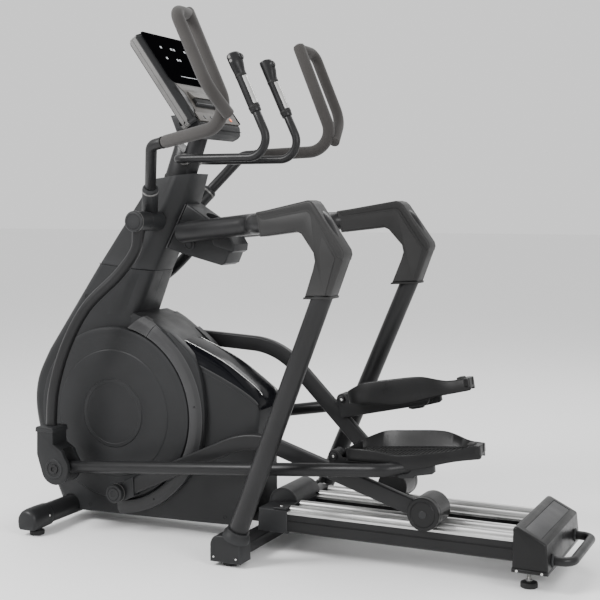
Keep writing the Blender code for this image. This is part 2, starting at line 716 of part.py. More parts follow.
def linkage_pose(side):
    """Crank pin, roller, pedal pivot and fork eye, and the turn of each arm about Y."""
    lean = (sin(CRANK_LEAN), -cos(CRANK_LEAN))
    pin = (CRANK_CENTRE[0] - side * lean[0] * CRANK_RADIUS, CRANK_CENTRE[1] - side * lean[1] * CRANK_RADIUS)
    arm_angle = asin((ROLLER_HEIGHT - pin[1]) / ROLLER_ARM_LENGTH)
    along = Vector((cos(arm_angle), sin(arm_angle)))
    above = Vector((-along.y, along.x))
    pivot = Vector(pin) + along * PIVOT_ALONG + above * PIVOT_ABOVE
    to_pivot = pivot - Vector(SWING_CENTRE)
    distance = to_pivot.length
    opening = acos((SWING_LENGTH ** 2 + distance ** 2 - PEDAL_ARM_LENGTH ** 2) / (2.0 * SWING_LENGTH * distance))
    swing_angle = atan2(to_pivot.y, to_pivot.x) - opening
    eye = Vector(polar(SWING_CENTRE, SWING_LENGTH, swing_angle))
    line = pivot - eye
    tube_angle = atan2(line.y, line.x) - asin(PEDAL_TUBE_DROP / PEDAL_ARM_LENGTH)
    return pin, arm_angle, tuple(pivot), swing_angle, tuple(eye), tube_angle


def build_swing_arm(label, side, swing_angle):
    """Shapes are drawn about the swing axle, as they stand when the fork eye is at (-0.293, -0.835)."""
    drawn = atan2(-0.835, -0.293)
    swing = add_empty("swing_pivot_" + label, (SWING_CENTRE[0], 0.0, SWING_CENTRE[1]), drawn - swing_angle)
    arm = rod("swing_arm_" + label, (0.0, side * 0.0885, 0.0), (0.0, side * 0.232, 0.0), 0.033, "frame", swing)
    sleeve = rod("sleeve_" + label, (-0.0167, side * 0.1135, 0.004), (0.0359, side * 0.1897, 0.112), 0.0265,
                 parent=swing)
    path = [(-0.002, SWING_Y, -0.020), (-0.020, SWING_Y, -0.100), (-0.085, 0.206, -0.180), (-0.200, 0.224, -0.290)]
    path += [(-0.275, 0.242, -0.430), (-0.320, PEDAL_TUBE_Y, -0.580), (-0.331, PEDAL_TUBE_Y, -0.720)]
    lower = tube("lower_tube_" + label, smooth(sided(path, side), 3), SWING_TUBE_RADIUS, parent=swing)
    eye = (-0.293, -0.835)
    outline = arc(eye, 0.056, -150.0, 40.0, 12)
    outline += [(-0.296, -0.764), (-0.296, -0.700), (-0.366, -0.700), (-0.366, -0.800)]
    fork = plate("fork_" + label, [outline], pair(side, FORK_Y), parent=swing)
    slot = plate("fork_slot_" + label, [[(-0.45, -0.95), (-0.15, -0.95), (-0.15, -0.768), (-0.45, -0.768)]],
                 pair(side, FORK_SLOT_Y), parent=swing)
    join(arm, sleeve, lower, fork)
    cut(arm, slot, rod("hub_bore_" + label, (0.0, side * 0.07, 0.0), (0.0, side * 0.25, 0.0), 0.0125,
                       parent=swing))
    return swing


def build_swing_handle(label, side, swing):
    start = (0.0362, 0.1901, 0.1125, 0.0)
    low_bend = (0.099, 0.282, 0.2414, 0.040)
    high_bend = (0.434, 0.360, 0.298, 0.075)
    top = (0.254, 0.322, 0.652, 0.0)
    split = 0.15
    meet = tuple(a + (b - a) * split for a, b in zip(low_bend[:3], high_bend[:3]))
    tube("swing_handle_" + label, bent(sided([start, low_bend, (*meet, 0.0)], side)), SWING_TUBE_RADIUS,
         "frame", swing)
    begin = Vector(meet) + (Vector(high_bend[:3]) - Vector(meet)).normalized() * GAP
    foam = tube("handle_foam_" + label, bent(sided([(*begin, 0.0), high_bend, top], side)), FOAM_RADIUS,
                "foam", swing)
    up = (Vector(top[:3]) - Vector(high_bend[:3])).normalized()
    inner_top = Vector(top[:3]) - up * 0.020
    outer_top = inner_top + Vector((0.012, 0.100, -0.004))
    outer_low = Vector(high_bend[:3]) + up * 0.120 + Vector((0.014, 0.098, 0.0))
    inner_low = Vector(high_bend[:3]) + up * 0.030 + Vector((-0.002, 0.0, 0.0))
    loop = [(*inner_top, 0.0), (*outer_top, 0.040), (*outer_low, 0.090), (*inner_low, 0.0)]
    join(foam, tube("foam_loop_" + label, bent(sided(loop, side)), FOAM_RADIUS - 0.0008, parent=swing))


def build_roller_arm(label, side, pin, arm_angle):
    """Drawn with the crank pin at the origin and the roller axle along +X."""
    arm_frame = add_empty("roller_arm_frame_" + label, (pin[0], 0.0, pin[1]), -arm_angle)
    path = bent([(0.0, 0.0, 0.0, 0.0), (0.522, 0.0, 0.209, 0.260), (1.085, 0.0, 0.0, 0.0)], radians(6.0))
    outline = ribbon([(x, z) for x, _, z in path], ROLLER_ARM_HEIGHT / 2.0)
    arm = plate("roller_arm_" + label, [outline], pair(side, ROLLER_ARM_Y), "frame", arm_frame)
    housing = rod("pin_housing_" + label, (0.0, side * PIN_Y[0], 0.0), (0.0, side * PIN_Y[1], 0.0), 0.031,
                  parent=arm_frame)
    end = (ROLLER_ARM_LENGTH, 0.0)
    cover = rod("roller_cover_" + label, (end[0], side * 0.095, 0.0), (end[0], side * 0.210, 0.0),
                ROLLER_COVER_RADIUS, parent=arm_frame, sides=20)
    hollow = rod("roller_hollow_" + label, (end[0], side * 0.0985, 0.0), (end[0], side * 0.205, 0.0), 0.047,
                 parent=arm_frame, sides=20)
    mouth = block("roller_mouth_" + label, (end[0] - 0.08, *sorted(pair(side, (0.085, 0.186)))[:1], 0.0),
                  (end[0] + 0.08, *sorted(pair(side, (0.085, 0.186)))[1:], 0.06), parent=arm_frame)
    mouth.location = (0.0, 0.0, 0.0)
    shape_mouth(mouth, end[0], arm_angle)
    shaft = rod("roller_shaft_" + label, (end[0], side * 0.096, 0.0), (end[0], side * 0.207, 0.0), 0.006,
                parent=arm_frame, sides=12)
    eye = (PIVOT_ALONG, PIVOT_ABOVE)
    boss = rod("pivot_boss_" + label, (eye[0], side * 0.141, eye[1]), (eye[0], side * 0.179, eye[1]), 0.020,
               parent=arm_frame)
    saddle = plate("pivot_saddle_" + label, [[(eye[0] - 0.030, eye[1] - 0.050), (eye[0] + 0.014, eye[1] - 0.055),
                                              (eye[0] + 0.010, eye[1]), (eye[0] - 0.012, eye[1])]],
                   pair(side, (0.147, 0.173)), parent=arm_frame)
    pivot_bore = rod("pivot_bore_" + label, (eye[0], side * 0.12, eye[1]), (eye[0], side * 0.20, eye[1]), 0.0068,
                     parent=arm_frame, sides=12)
    join(arm, housing, cover, saddle, boss)
    cut(arm, hollow, mouth, pivot_bore)
    join(arm, shaft)
    wheel = turned("roller_wheel_" + label, [(0.0068, 0.172), (WHEEL_RADIUS - 0.002, 0.172), (WHEEL_RADIUS, 0.169),
                                             (WHEEL_RADIUS, 0.108), (WHEEL_RADIUS - 0.002, 0.105),
                                             (0.0068, 0.105)], end, side, "rubber", arm_frame, 20)
    return wheel


def shape_mouth(mouth, x, arm_angle):
    """Turn the cover's mouth so that it opens level, 29 mm under the roller axle, in the arm's frame."""
    low, high = -0.110, -0.029
    turn = Matrix.Rotation(arm_angle, 4, "Y")
    for vertex in mouth.data.vertices:
        local = Vector((vertex.co.x - x, 0.0, low if vertex.co.z < 0.03 else high))
        turned_place = turn @ local
        vertex.co = (x + turned_place.x, vertex.co.y, turned_place.z)


def build_pedal_arm(label, side, pivot, tube_angle):
    """Drawn with the pedal pivot at the origin and the arm's tube along X."""
    frame = add_empty("pedal_pivot_" + label, (pivot[0], 0.0, pivot[1]), -tube_angle)
    eye_x = -(PEDAL_ARM_LENGTH ** 2 - PEDAL_TUBE_DROP ** 2) ** 0.5
    drop = -PEDAL_TUBE_DROP
    path = [(eye_x, PEDAL_TUBE_Y, drop, 0.0), (0.185, PEDAL_TUBE_Y, drop, 0.080), (0.262, 0.176, drop, 0.0)]
    arm = tube("pedal_arm_" + label, bent(sided(path, side)), PEDAL_TUBE_RADIUS, "frame", frame, 3)
    eye = rod("arm_eye_" + label, (eye_x, side * 0.2305, drop), (eye_x, side * 0.2695, drop), 0.024,
              parent=frame)
    ear = arc((0.0, 0.0), 0.020, 60.0, 200.0, 6)
    ear += [(-0.014, -0.058), (0.010, -0.062), (0.300, -0.046), (0.312, -0.0045), (0.030, -0.0045)]
    inner = plate("inner_cheek_" + label, [ear], pair(side, (0.1345, 0.1390)), parent=frame)
    outer = plate("outer_cheek_" + label, [ear], pair(side, (0.1810, 0.1855)), parent=frame)
    y0, y1 = sorted(pair(side, (0.1350, 0.1850)))
    deck = block("pedal_deck_" + label, (0.040, y0, -0.0095), (0.310, y1, -0.0045), parent=frame)
    bolt = rod("pivot_bolt_" + label, (0.0, side * 0.1300, 0.0), (0.0, side * 0.1900, 0.0), 0.0060,
               parent=frame, sides=12)
    join(arm, eye, outer, deck, inner, bolt)
    build_pedal(label, side, frame)


def build_pedal(label, side, frame):
    plan = [(0.047, 0.080), (0.045, 0.195), (0.060, 0.216), (0.180, 0.224), (0.290, 0.222), (0.360, 0.205)]
    plan += [(0.440, 0.166), (0.462, 0.154), (0.462, 0.112), (0.440, 0.092), (0.390, 0.056), (0.330, 0.046)]
    plan += [(0.130, 0.045)]
    inset = [(0.055, 0.088), (0.054, 0.192), (0.066, 0.208), (0.182, 0.216), (0.288, 0.214), (0.355, 0.198)]
    inset += [(0.425, 0.163), (0.425, 0.098), (0.384, 0.064), (0.326, 0.054), (0.134, 0.053)]
    pedal = slab("pedal_" + label, sided(plan, side), (-0.0042, 0.058), "rubber", frame)
    well = slab("pedal_well_" + label, sided(inset, side), (0.004, 0.090), parent=frame)
    # The outer wall is lower than the inner one, and the tail is lower still
    slope = plate("pedal_slope_" + label, [[(-0.02, 0.10), (-0.02, 0.030), (0.10, 0.033), (0.27, 0.012),
                                            (0.48, 0.014), (0.48, 0.10)]],
                  pair(side, (0.115, 0.30)), parent=frame)
    front = plate("pedal_front_cut_" + label, [[(-0.02, 0.10), (-0.02, 0.020), (0.14, 0.062), (0.34, 0.062),
                                                (0.40, 0.020), (0.50, 0.016), (0.50, 0.10)]],
                  pair(side, (0.0, 0.30)), parent=frame)
    cut(pedal, well, slope, front)


def build_linkage():
    for label, side in SIDES:
        pin, arm_angle, pivot, swing_angle, _, tube_angle = linkage_pose(side)
        swing = build_swing_arm(label, side, swing_angle)
        build_swing_handle(label, side, swing)
        build_roller_arm(label, side, pin, arm_angle)
        build_pedal_arm(label, side, pivot, tube_angle)


build_front_stabilizer()
build_mid_stabilizer()
build_frame()
build_bearing_frames()
build_rails()
build_rear()
build_shells()
build_arches()
build_top_cover()
build_mast_cover()
build_console()
build_pulse_bar()
build_bottle_holder()
build_handrails()
build_crank()
build_flywheel()
build_belt()
build_linkage()
bpy.context.view_layer.update()
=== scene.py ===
"""Looks of the elliptical trainer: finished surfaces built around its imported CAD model."""
import json
from math import acos, asin, atan2, ceil, cos, pi, radians, sin

import bmesh
import bpy
from mathutils import Matrix, Vector


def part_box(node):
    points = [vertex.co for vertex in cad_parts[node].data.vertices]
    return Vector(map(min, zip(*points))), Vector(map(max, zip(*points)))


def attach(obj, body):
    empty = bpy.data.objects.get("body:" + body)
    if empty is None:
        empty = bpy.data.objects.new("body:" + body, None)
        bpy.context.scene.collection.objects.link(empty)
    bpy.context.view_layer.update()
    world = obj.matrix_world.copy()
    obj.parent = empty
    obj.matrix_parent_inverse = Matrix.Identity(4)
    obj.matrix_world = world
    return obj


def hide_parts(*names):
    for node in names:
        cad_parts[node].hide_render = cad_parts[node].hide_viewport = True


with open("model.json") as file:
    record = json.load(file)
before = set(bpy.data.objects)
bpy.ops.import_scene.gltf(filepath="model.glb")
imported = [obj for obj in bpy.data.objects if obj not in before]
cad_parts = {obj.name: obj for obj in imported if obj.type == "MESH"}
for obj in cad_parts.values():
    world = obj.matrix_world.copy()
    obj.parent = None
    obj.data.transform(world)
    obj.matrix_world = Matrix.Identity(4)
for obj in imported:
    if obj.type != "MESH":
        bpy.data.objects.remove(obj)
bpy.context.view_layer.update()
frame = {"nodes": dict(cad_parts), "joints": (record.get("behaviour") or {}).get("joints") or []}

ROOT = "frame"
SIDES = (("left", -1.0), ("right", 1.0))
JOINTS = {joint["name"]: joint for joint in frame["joints"]}


def joint_place(name):
    return Vector(JOINTS[name]["pos_m"])


# Places that the frame gives
CRANK = joint_place("crank_spin")
SWING = joint_place("left_swing_pivot")
SHELL_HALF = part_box("right_shell")[1].y
DISC_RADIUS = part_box("crank_disc_left")[1].z - CRANK.z
ARCH_Y = (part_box("wheel_arch_right")[0].y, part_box("wheel_arch_right")[1].y)
FRONT_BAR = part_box("front_stabilizer")
RAIL_LOW, RAIL_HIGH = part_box("rail_beam_right")
TRACK_LOW, TRACK_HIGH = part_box("rail_track_right")

# The linkage, as part of the same design as the frame
CRANK_RADIUS = 0.265
CRANK_LEAN = radians(12.0)
SWING_LENGTH = 0.885
PEDAL_TUBE_DROP = 0.0304
PEDAL_ARM_LENGTH = 0.9895
SWING_Y = 0.200
PEDAL_TUBE_Y = 0.250


# ---------------------------------------------------------------- camera, light and floor

LENS, SENSOR = 71.56, 36.0
CAMERA_PLACE = (1.684, -3.535, 1.122)
CAMERA_TURN = (85.38, 0.0, 25.0)


def build_camera():
    data = bpy.data.cameras.new("camera")
    data.lens = LENS
    data.sensor_width = SENSOR
    camera = bpy.data.objects.new("camera", data)
    camera.location = CAMERA_PLACE
    camera.rotation_euler = [radians(turn) for turn in CAMERA_TURN]
    bpy.context.scene.collection.objects.link(camera)
    bpy.context.scene.camera = camera


def area_light(name, place, target, size, power, colour=(1.0, 1.0, 1.0)):
    data = bpy.data.lights.new(name, "AREA")
    data.energy = power
    data.size = size
    data.color = colour
    light = bpy.data.objects.new(name, data)
    light.location = place
    light.rotation_euler = (Vector(target) - Vector(place)).to_track_quat("-Z", "Y").to_euler()
    bpy.context.scene.collection.objects.link(light)


def build_studio():
    world = bpy.data.worlds.new("studio")
    world.use_nodes = True
    background = world.node_tree.nodes["Background"]
    background.inputs["Color"].default_value = (1.0, 1.0, 1.0, 1.0)
    background.inputs["Strength"].default_value = 1.05
    bpy.context.scene.world = world
    middle = (0.0, 0.0, 0.8)
    area_light("key_light", (-2.4, -3.0, 3.4), middle, 1.5, 260.0)
    area_light("fill_light", (3.6, -2.2, 2.4), middle, 1.8, 120.0)
    area_light("back_light", (0.4, 3.0, 4.2), middle, 2.4, 90.0)
    data = bpy.data.meshes.new("floor")
    half = 40.0
    data.from_pydata([(-half, -half, 0), (half, -half, 0), (half, half, 0), (-half, half, 0)], [],
                     [(0, 1, 2, 3)])
    floor = bpy.data.objects.new("floor", data)
    bpy.context.scene.collection.objects.link(floor)
    material = bpy.data.materials.new("pale_floor")
    material.use_nodes = True
    shader = material.node_tree.nodes["Principled BSDF"]
    shader.inputs["Base Color"].default_value = (0.90, 0.90, 0.90, 1.0)
    shader.inputs["Roughness"].default_value = 0.55
    data.materials.append(material)
    floor.location.z = -0.0005


# ---------------------------------------------------------------- materials

class Nodes:
    """A material's node tree, with short calls to add nodes and links."""

    def __init__(self, name):
        self.material = bpy.data.materials.new(name)
        self.material.use_nodes = True
        self.tree = self.material.node_tree
        self.shader = self.tree.nodes["Principled BSDF"]
        self.coordinates = self.add("TexCoord").outputs["Object"]

    def add(self, kind, **settings):
        node = self.tree.nodes.new("ShaderNode" + kind)
        for key, value in settings.items():
            setattr(node, key, value)
        return node

    def link(self, source, target):
        self.tree.links.new(source, target)

    def stretched(self, scale):
        mapping = self.add("Mapping")
        mapping.inputs["Scale"].default_value = scale
        self.link(self.coordinates, mapping.inputs["Vector"])
        return mapping.outputs["Vector"]

    def noise(self, scale, detail=2.0, vector=None):
        node = self.add("TexNoise")
        node.inputs["Scale"].default_value = scale
        node.inputs["Detail"].default_value = detail
        self.link(vector or self.coordinates, node.inputs["Vector"])
        return node.outputs["Fac"]

    def ranged(self, source, low, high, start=0.3, end=0.7):
        node = self.add("MapRange")
        node.inputs["From Min"].default_value = start
        node.inputs["From Max"].default_value = end
        node.inputs["To Min"].default_value = low
        node.inputs["To Max"].default_value = high
        self.link(source, node.inputs["Value"])
        return node.outputs["Result"]

    def mixed(self, factor, first, second):
        node = self.add("Mix", data_type="RGBA")
        self.link(factor, node.inputs["Factor"])
        for socket, value in ((node.inputs[6], first), (node.inputs[7], second)):
            if isinstance(value, tuple):
                socket.default_value = (*value, 1.0)
            else:
                self.link(value, socket)
        return node.outputs[2]

    def math(self, operation, first, second=None):
        node = self.add("Math", operation=operation)
        for socket, value in zip(node.inputs, (first, second)):
            if isinstance(value, (int, float)):
                socket.default_value = value
            elif value is not None:
                self.link(value, socket)
        return node.outputs[0]

    def bump(self, height, depth, strength=1.0, normal=None):
        node = self.add("Bump")
        node.inputs["Distance"].default_value = depth
        node.inputs["Strength"].default_value = strength
        self.link(height, node.inputs["Height"])
        if normal:
            self.link(normal, node.inputs["Normal"])
        self.link(node.outputs["Normal"], self.shader.inputs["Normal"])
        return node.outputs["Normal"]

    def set(self, **values):
        for key, value in values.items():
            self.shader.inputs[key.replace("_", " ")].default_value = value


def tinted(colour, factor):
    return tuple(min(1.0, channel * factor) for channel in colour)


def surface(name, colour, rough, metal=0.0, grain=(900.0, 0.00012), mottle=0.14, wear=0.5, stretch=None,
            **more):
    """A finish with broad colour variation, fine grain in its bump, uneven gloss and rubbed edges."""
    nodes = Nodes(name)
    vector = nodes.stretched(stretch) if stretch else None
    broad = nodes.noise(5.0, 4.0)
    fine = nodes.noise(grain[0], 3.0, vector)
    base = nodes.mixed(nodes.ranged(broad, 0.0, 1.0), tinted(colour, 1.0 - mottle),
                       tinted(colour, 1.0 + mottle))
    speckled = nodes.mixed(nodes.ranged(fine, 0.0, 0.5 * mottle), base, tinted(colour, 1.9))
    edge = nodes.add("NewGeometry").outputs["Pointiness"]
    rubbed = nodes.math("MULTIPLY", nodes.ranged(edge, 0.0, wear, 0.515, 0.60),
                        nodes.ranged(broad, 0.35, 1.0))
    worn = nodes.mixed(rubbed, speckled, tinted(colour, 3.2 if max(colour) < 0.2 else 1.15))
    nodes.link(worn, nodes.shader.inputs["Base Color"])
    smudge = nodes.noise(17.0, 5.0)
    gloss = nodes.math("ADD", nodes.ranged(smudge, -0.06, 0.07),
                       nodes.ranged(fine, rough - 0.03, rough + 0.03))
    nodes.link(gloss, nodes.shader.inputs["Roughness"])
    nodes.bump(fine, grain[1])
    nodes.set(Metallic=metal)
    if metal < 0.5:
        nodes.set(Specular_IOR_Level=0.22)
    for key, value in more.items():
        nodes.set(**{key: value})
    return nodes


def disc_material(centre):
    """Moulded plastic with a band of fine dots around the disc."""
    nodes = surface("disc_plastic", (0.0125, 0.0128, 0.0135), 0.48)
    shift = nodes.add("Mapping")
    shift.inputs["Location"].default_value = (-centre.x, 0.0, -centre.z)
    shift.inputs["Scale"].default_value = (1.0, 0.0, 1.0)
    nodes.link(nodes.coordinates, shift.inputs["Vector"])
    reach = nodes.add("VectorMath", operation="LENGTH")
    nodes.link(shift.outputs["Vector"], reach.inputs[0])
    band_in = nodes.ranged(reach.outputs["Value"], 0.0, 1.0, 0.2215, 0.2235)
    band_out = nodes.ranged(reach.outputs["Value"], 1.0, 0.0, 0.2725, 0.2745)
    dots = nodes.add("TexVoronoi")
    dots.inputs["Scale"].default_value = 230.0
    dots.inputs["Randomness"].default_value = 0.05
    nodes.link(shift.outputs["Vector"], dots.inputs["Vector"])
    band = nodes.math("MULTIPLY", band_in, band_out)
    height = nodes.math("MULTIPLY", nodes.ranged(dots.outputs["Distance"], 1.0, 0.0, 0.15, 0.5), band)
    first = nodes.shader.inputs["Normal"].links[0].from_socket
    nodes.bump(height, 0.00035, 1.0, first)
    return nodes.material


def foam_material():
    nodes = surface("foam_grip", (0.030, 0.0276, 0.0262), 0.80, grain=(420.0, 0.0005), mottle=0.12, wear=0.25,
                    Sheen_Weight=0.12, Sheen_Roughness=0.6)
    return nodes.material


def build_materials():
    brushed = (4.0, 90.0, 90.0)
    finishes = {
        "casing": surface("casing_plastic", (0.0115, 0.0118, 0.0124), 0.44),
        "grey": surface("grey_plastic", (0.0270, 0.0270, 0.0278), 0.42),
        "satin": surface("powder_coat", (0.0085, 0.0085, 0.0090), 0.36, grain=(1500.0, 0.00008)),
        "tube": surface("tube_powder_coat", (0.0105, 0.0105, 0.0110), 0.36, grain=(1500.0, 0.00006)),
        "black": surface("dark_gloss_plastic", (0.0048, 0.0048, 0.0050), 0.34),
        "gloss": surface("gloss_black", (0.0030, 0.0032, 0.0042), 0.16, grain=(300.0, 0.000004), wear=0.1,
                         Specular_IOR_Level=0.10, Coat_Weight=0.06, Coat_Roughness=0.03),
        "aluminium": surface("polished_aluminium", (0.50, 0.50, 0.495), 0.42, 1.0, (8.0, 0.0000002), 0.02,
                             0.1,
                             brushed),
        "steel": surface("brushed_steel", (0.56, 0.56, 0.55), 0.28, 1.0, (500.0, 0.00005), 0.08, 0.3),
        "silver": surface("silver_plastic", (0.110, 0.108, 0.106), 0.36, 0.35, (1200.0, 0.00004), 0.06, 0.2),
        "beige": surface("panel_plastic", (0.050, 0.046, 0.042), 0.45, 0.1, (1200.0, 0.00005), 0.05, 0.2),
        "rubber": surface("moulded_rubber", (0.0095, 0.0095, 0.0095), 0.55, grain=(700.0, 0.00025)),
        "pad": surface("armrest_pad", (0.0150, 0.0148, 0.0148), 0.50, grain=(650.0, 0.0002)),
        # Near-black painted shade for screw wells, seams, slots and slits, where only shade falls
        "dark": surface("painted_shade_black", (0.003, 0.003, 0.003), 0.70),
        "screen": surface("black_glass", (0.0015, 0.0015, 0.0018), 0.12, grain=(200.0, 0.000002), wear=0.0,
                          Specular_IOR_Level=0.0),
        "marks": surface("display_marks", (0.30, 0.31, 0.33), 0.35, Emission_Color=(0.8, 0.85, 0.9, 1.0),
                         Emission_Strength=0.12),
        "key": surface("start_key", (0.62, 0.13, 0.05), 0.40, Emission_Color=(1.0, 0.25, 0.1, 1.0),
                       Emission_Strength=0.5),
    }
    found = {key: nodes.material for key, nodes in finishes.items()}
    found["disc"] = disc_material(CRANK)
    found["foam"] = foam_material()
    return found


FINISH = build_materials()


# ---------------------------------------------------------------- shapes

def arc(centre, radius, start, end, steps):
    turn = [radians(start + (end - start) * i / steps) for i in range(steps + 1)]
    return [(centre[0] + radius * cos(a), centre[1] + radius * sin(a)) for a in turn]


def smooth(points, steps=4, closed=False):
    """Points on a Catmull-Rom curve through the given 2D or 3D points."""
    count = len(points)
    places = [Vector(p) for p in points]
    result = []
    for i in range(count if closed else count - 1):
        if closed:
            a, b, c, d = (places[(i + k) % count] for k in (-1, 0, 1, 2))
        else:
            a, b, c, d = (places[min(max(i + k, 0), count - 1)] for k in (-1, 0, 1, 2))
        for j in range(steps):
            t = j / steps
            place = b * 2.0 + (c - a) * t
            place += (a * 2.0 - b * 5.0 + c * 4.0 - d) * t ** 2
            place += (b * 3.0 - a - c * 3.0 + d) * t ** 3
            result.append(tuple(place / 2.0))
    if not closed:
        result.append(tuple(places[-1]))
    return result


def bent(points, step=radians(7.0)):
    """A path of straight runs. Each point is (x, y, z, bend radius), and the ends have radius 0."""
    result = [tuple(points[0][:3])]
    for before, here, after in zip(points, points[1:], points[2:]):
        corner = Vector(here[:3])
        back = (Vector(before[:3]) - corner).normalized()
        ahead = (Vector(after[:3]) - corner).normalized()
        turn = pi - back.angle(ahead)
        reach = here[3] * abs(sin(turn / 2.0) / cos(turn / 2.0))
        middle = corner + (back + ahead).normalized() * (here[3] / cos(turn / 2.0))
        start = corner + back * reach - middle
        end = corner + ahead * reach - middle
        count = max(1, ceil(turn / step))
        for i in range(count + 1):
            t = i / count
            spoke = start * sin((1.0 - t) * turn) + end * sin(t * turn)
            result.append(tuple(middle + spoke / sin(turn)))
    result.append(tuple(points[-1][:3]))
    return result


def ribbon(path, half):
    """The outline of a strip along a path of 2D points. half is its half width, or one for each point."""
    left, right = [], []
    for i, place in enumerate(path):
        before = path[max(i - 1, 0)]
        after = path[min(i + 1, len(path) - 1)]
        along = Vector((after[0] - before[0], after[1] - before[1])).normalized()
        reach = half[i] if isinstance(half, list) else half
        left.append((place[0] - along.y * reach, place[1] + along.x * reach))
        right.append((place[0] + along.y * reach, place[1] - along.x * reach))
    return left + right[::-1]


def sided(points, side):
    return [(p[0], p[1] * side, *p[2:]) for p in points]


def pair(side, values):
    return (side * values[0], side * values[1])


def from_model(name, model, angle=32.0):
    bmesh.ops.recalc_face_normals(model, faces=model.faces)
    mesh = bpy.data.meshes.new(name)
    model.to_mesh(mesh)
    model.free()
    mesh.shade_smooth()
    mesh.set_sharp_from_angle(angle=radians(angle))
    thing = bpy.data.objects.new(name, mesh)
    bpy.context.scene.collection.objects.link(thing)
    return thing


def loft(name, rings, caps=True, closed=False, angle=32.0):
    """Faces between rings of equal length. Each ring closes on itself."""
    model = bmesh.new()
    rows = [[model.verts.new(place) for place in ring] for ring in rings]
    count = len(rows[0])
    following = rows[1:] + ([rows[0]] if closed else [])
    for first, second in zip(rows, following):
        for i in range(count):
            k = (i + 1) % count
            model.faces.new((first[i], first[k], second[k], second[i]))
    if caps and not closed:
        model.faces.new(rows[0][::-1])
        model.faces.new(rows[-1])
    return from_model(name, model, angle)


# The middle step of a tube's rounded end: how far along, and how much narrower, as parts of the rounding
END_STEP = 0.35
END_DROP = 0.25


def tube(name, path, radius, sides=32, edge=0.0015):
    """A round tube along a path. radius is a number or one for each point, and edge rounds both ends."""
    places = [Vector(p) for p in path]
    radii = list(radius) if isinstance(radius, (list, tuple)) else [radius] * len(places)
    first = (places[1] - places[0]).normalized()
    last = (places[-1] - places[-2]).normalized()
    # Both ends are rounded in two steps
    start, end = places[0], places[-1]
    places = [start, start + first * edge * END_STEP, start + first * edge] + places[1:-1]
    places += [end - last * edge, end - last * edge * END_STEP, end]
    radii = [radii[0] - edge, radii[0] - edge * END_DROP] + radii + [radii[-1] - edge * END_DROP,
        radii[-1] - edge]
    side = first.orthogonal().normalized()
    rings = []
    for i, place in enumerate(places):
        before = places[max(i - 1, 0)]
        after = places[min(i + 1, len(places) - 1)]
        along = (after - before).normalized()
        side = (side - along * side.dot(along)).normalized()
        other = along.cross(side)
        turns = [2.0 * pi * k / sides for k in range(sides)]
        rings.append([place + (side * cos(a) + other * sin(a)) * radii[i] for a in turns])
    return loft(name, rings, angle=40.0)


def prism(name, outline, y_range, bevel=0.0, segments=2, angle=32.0, pick=None):
    """An outline in XZ between two Y values, with rounded rims. pick chooses further edges or fewer."""
    low, high = sorted(y_range)
    model = bmesh.new()
    near = [model.verts.new((x, low, z)) for x, z in outline]
    far = [model.verts.new((x, high, z)) for x, z in outline]
    model.faces.new(near)
    model.faces.new(far[::-1])
    for i in range(len(near)):
        k = (i + 1) % len(near)
        model.faces.new((near[i], far[i], far[k], near[k]))
    bmesh.ops.recalc_face_normals(model, faces=model.faces)
    if bevel:
        chosen = pick or (lambda edge: abs(edge.verts[0].co.y - edge.verts[1].co.y) < 1e-6)
        edges = [edge for edge in model.edges if chosen(edge)]
        bmesh.ops.bevel(model, geom=edges, offset=bevel, segments=segments, profile=0.5, affect="EDGES")
    return from_model(name, model, angle)


def box(name, low, high, bevel=0.002, segments=2):
    model = bmesh.new()
    low, high = Vector(low), Vector(high)
    middle = Matrix.Translation((low + high) / 2.0)
    bmesh.ops.create_cube(model, matrix=middle @ Matrix.Diagonal((*(high - low), 1.0)))
    bmesh.ops.bevel(model, geom=model.edges[:], offset=bevel, segments=segments, profile=0.5, affect="EDGES")
    return from_model(name, model)


def lathe(name, profile, matrix, steps=64, angle=32.0):
    """A profile of (radius, height) turned about local Z. Points at radius 0 close an end."""
    model = bmesh.new()
    rows = []
    for radius, height in profile:
        if radius < 1e-7:
            rows.append([model.verts.new(matrix @ Vector((0.0, 0.0, height)))])
            continue
        turns = [2.0 * pi * k / steps for k in range(steps)]
        rows.append([model.verts.new(matrix @ Vector((radius * cos(a), radius * sin(a),
                                                      height))) for a in turns])
    closed = len(rows[0]) > 1 and len(rows[-1]) > 1
    for first, second in zip(rows, rows[1:] + ([rows[0]] if closed else [])):
        for i in range(steps):
            k = (i + 1) % steps
            corners = [first[i % len(first)], first[k % len(first)], second[k % len(second)],
                       second[i % len(second)]]
            unique = list(dict.fromkeys(corners))
            if len(unique) > 2:
                model.faces.new(unique)
    return from_model(name, model, angle)


def across(x, z, side):
    """Local Z runs out to a side from the middle plane, at a place in XZ."""
    return Matrix.Translation((x, 0.0, z)) @ Matrix.Rotation(-side * pi / 2.0, 4, "X")


def facing(place, direction):
    return Matrix.Translation(place) @ Vector(direction).to_track_quat("Z", "Y").to_matrix().to_4x4()


def rod(name, start, end, radius, edge=0.001, steps=40):
    start, end = Vector(start), Vector(end)
    length = (end - start).length
    profile = [(0.0, 0.0), (radius - edge, 0.0), (radius, edge), (radius, length - edge),
               (radius - edge, length),
               (0.0, length)]
    return lathe(name, profile, facing(start, end - start), steps)


def carve(thing, *cutters):
    """Cut shapes out of a piece, and remove the cutters."""
    for cutter in cutters:
        modifier = thing.modifiers.new("cut", "BOOLEAN")
        modifier.operation = "DIFFERENCE"
        modifier.solver = "EXACT"
        modifier.object = cutter
    bake(thing)
    for cutter in cutters:
        bpy.data.objects.remove(cutter, do_unlink=True)
    return thing


def bake(thing, angle=32.0):
    bpy.context.view_layer.update()
    evaluated = thing.evaluated_get(bpy.context.evaluated_depsgraph_get())
    mesh = bpy.data.meshes.new_from_object(evaluated)
    thing.modifiers.clear()
    thing.data = mesh
    mesh.shade_smooth()
    mesh.set_sharp_from_angle(angle=radians(angle))
    return thing


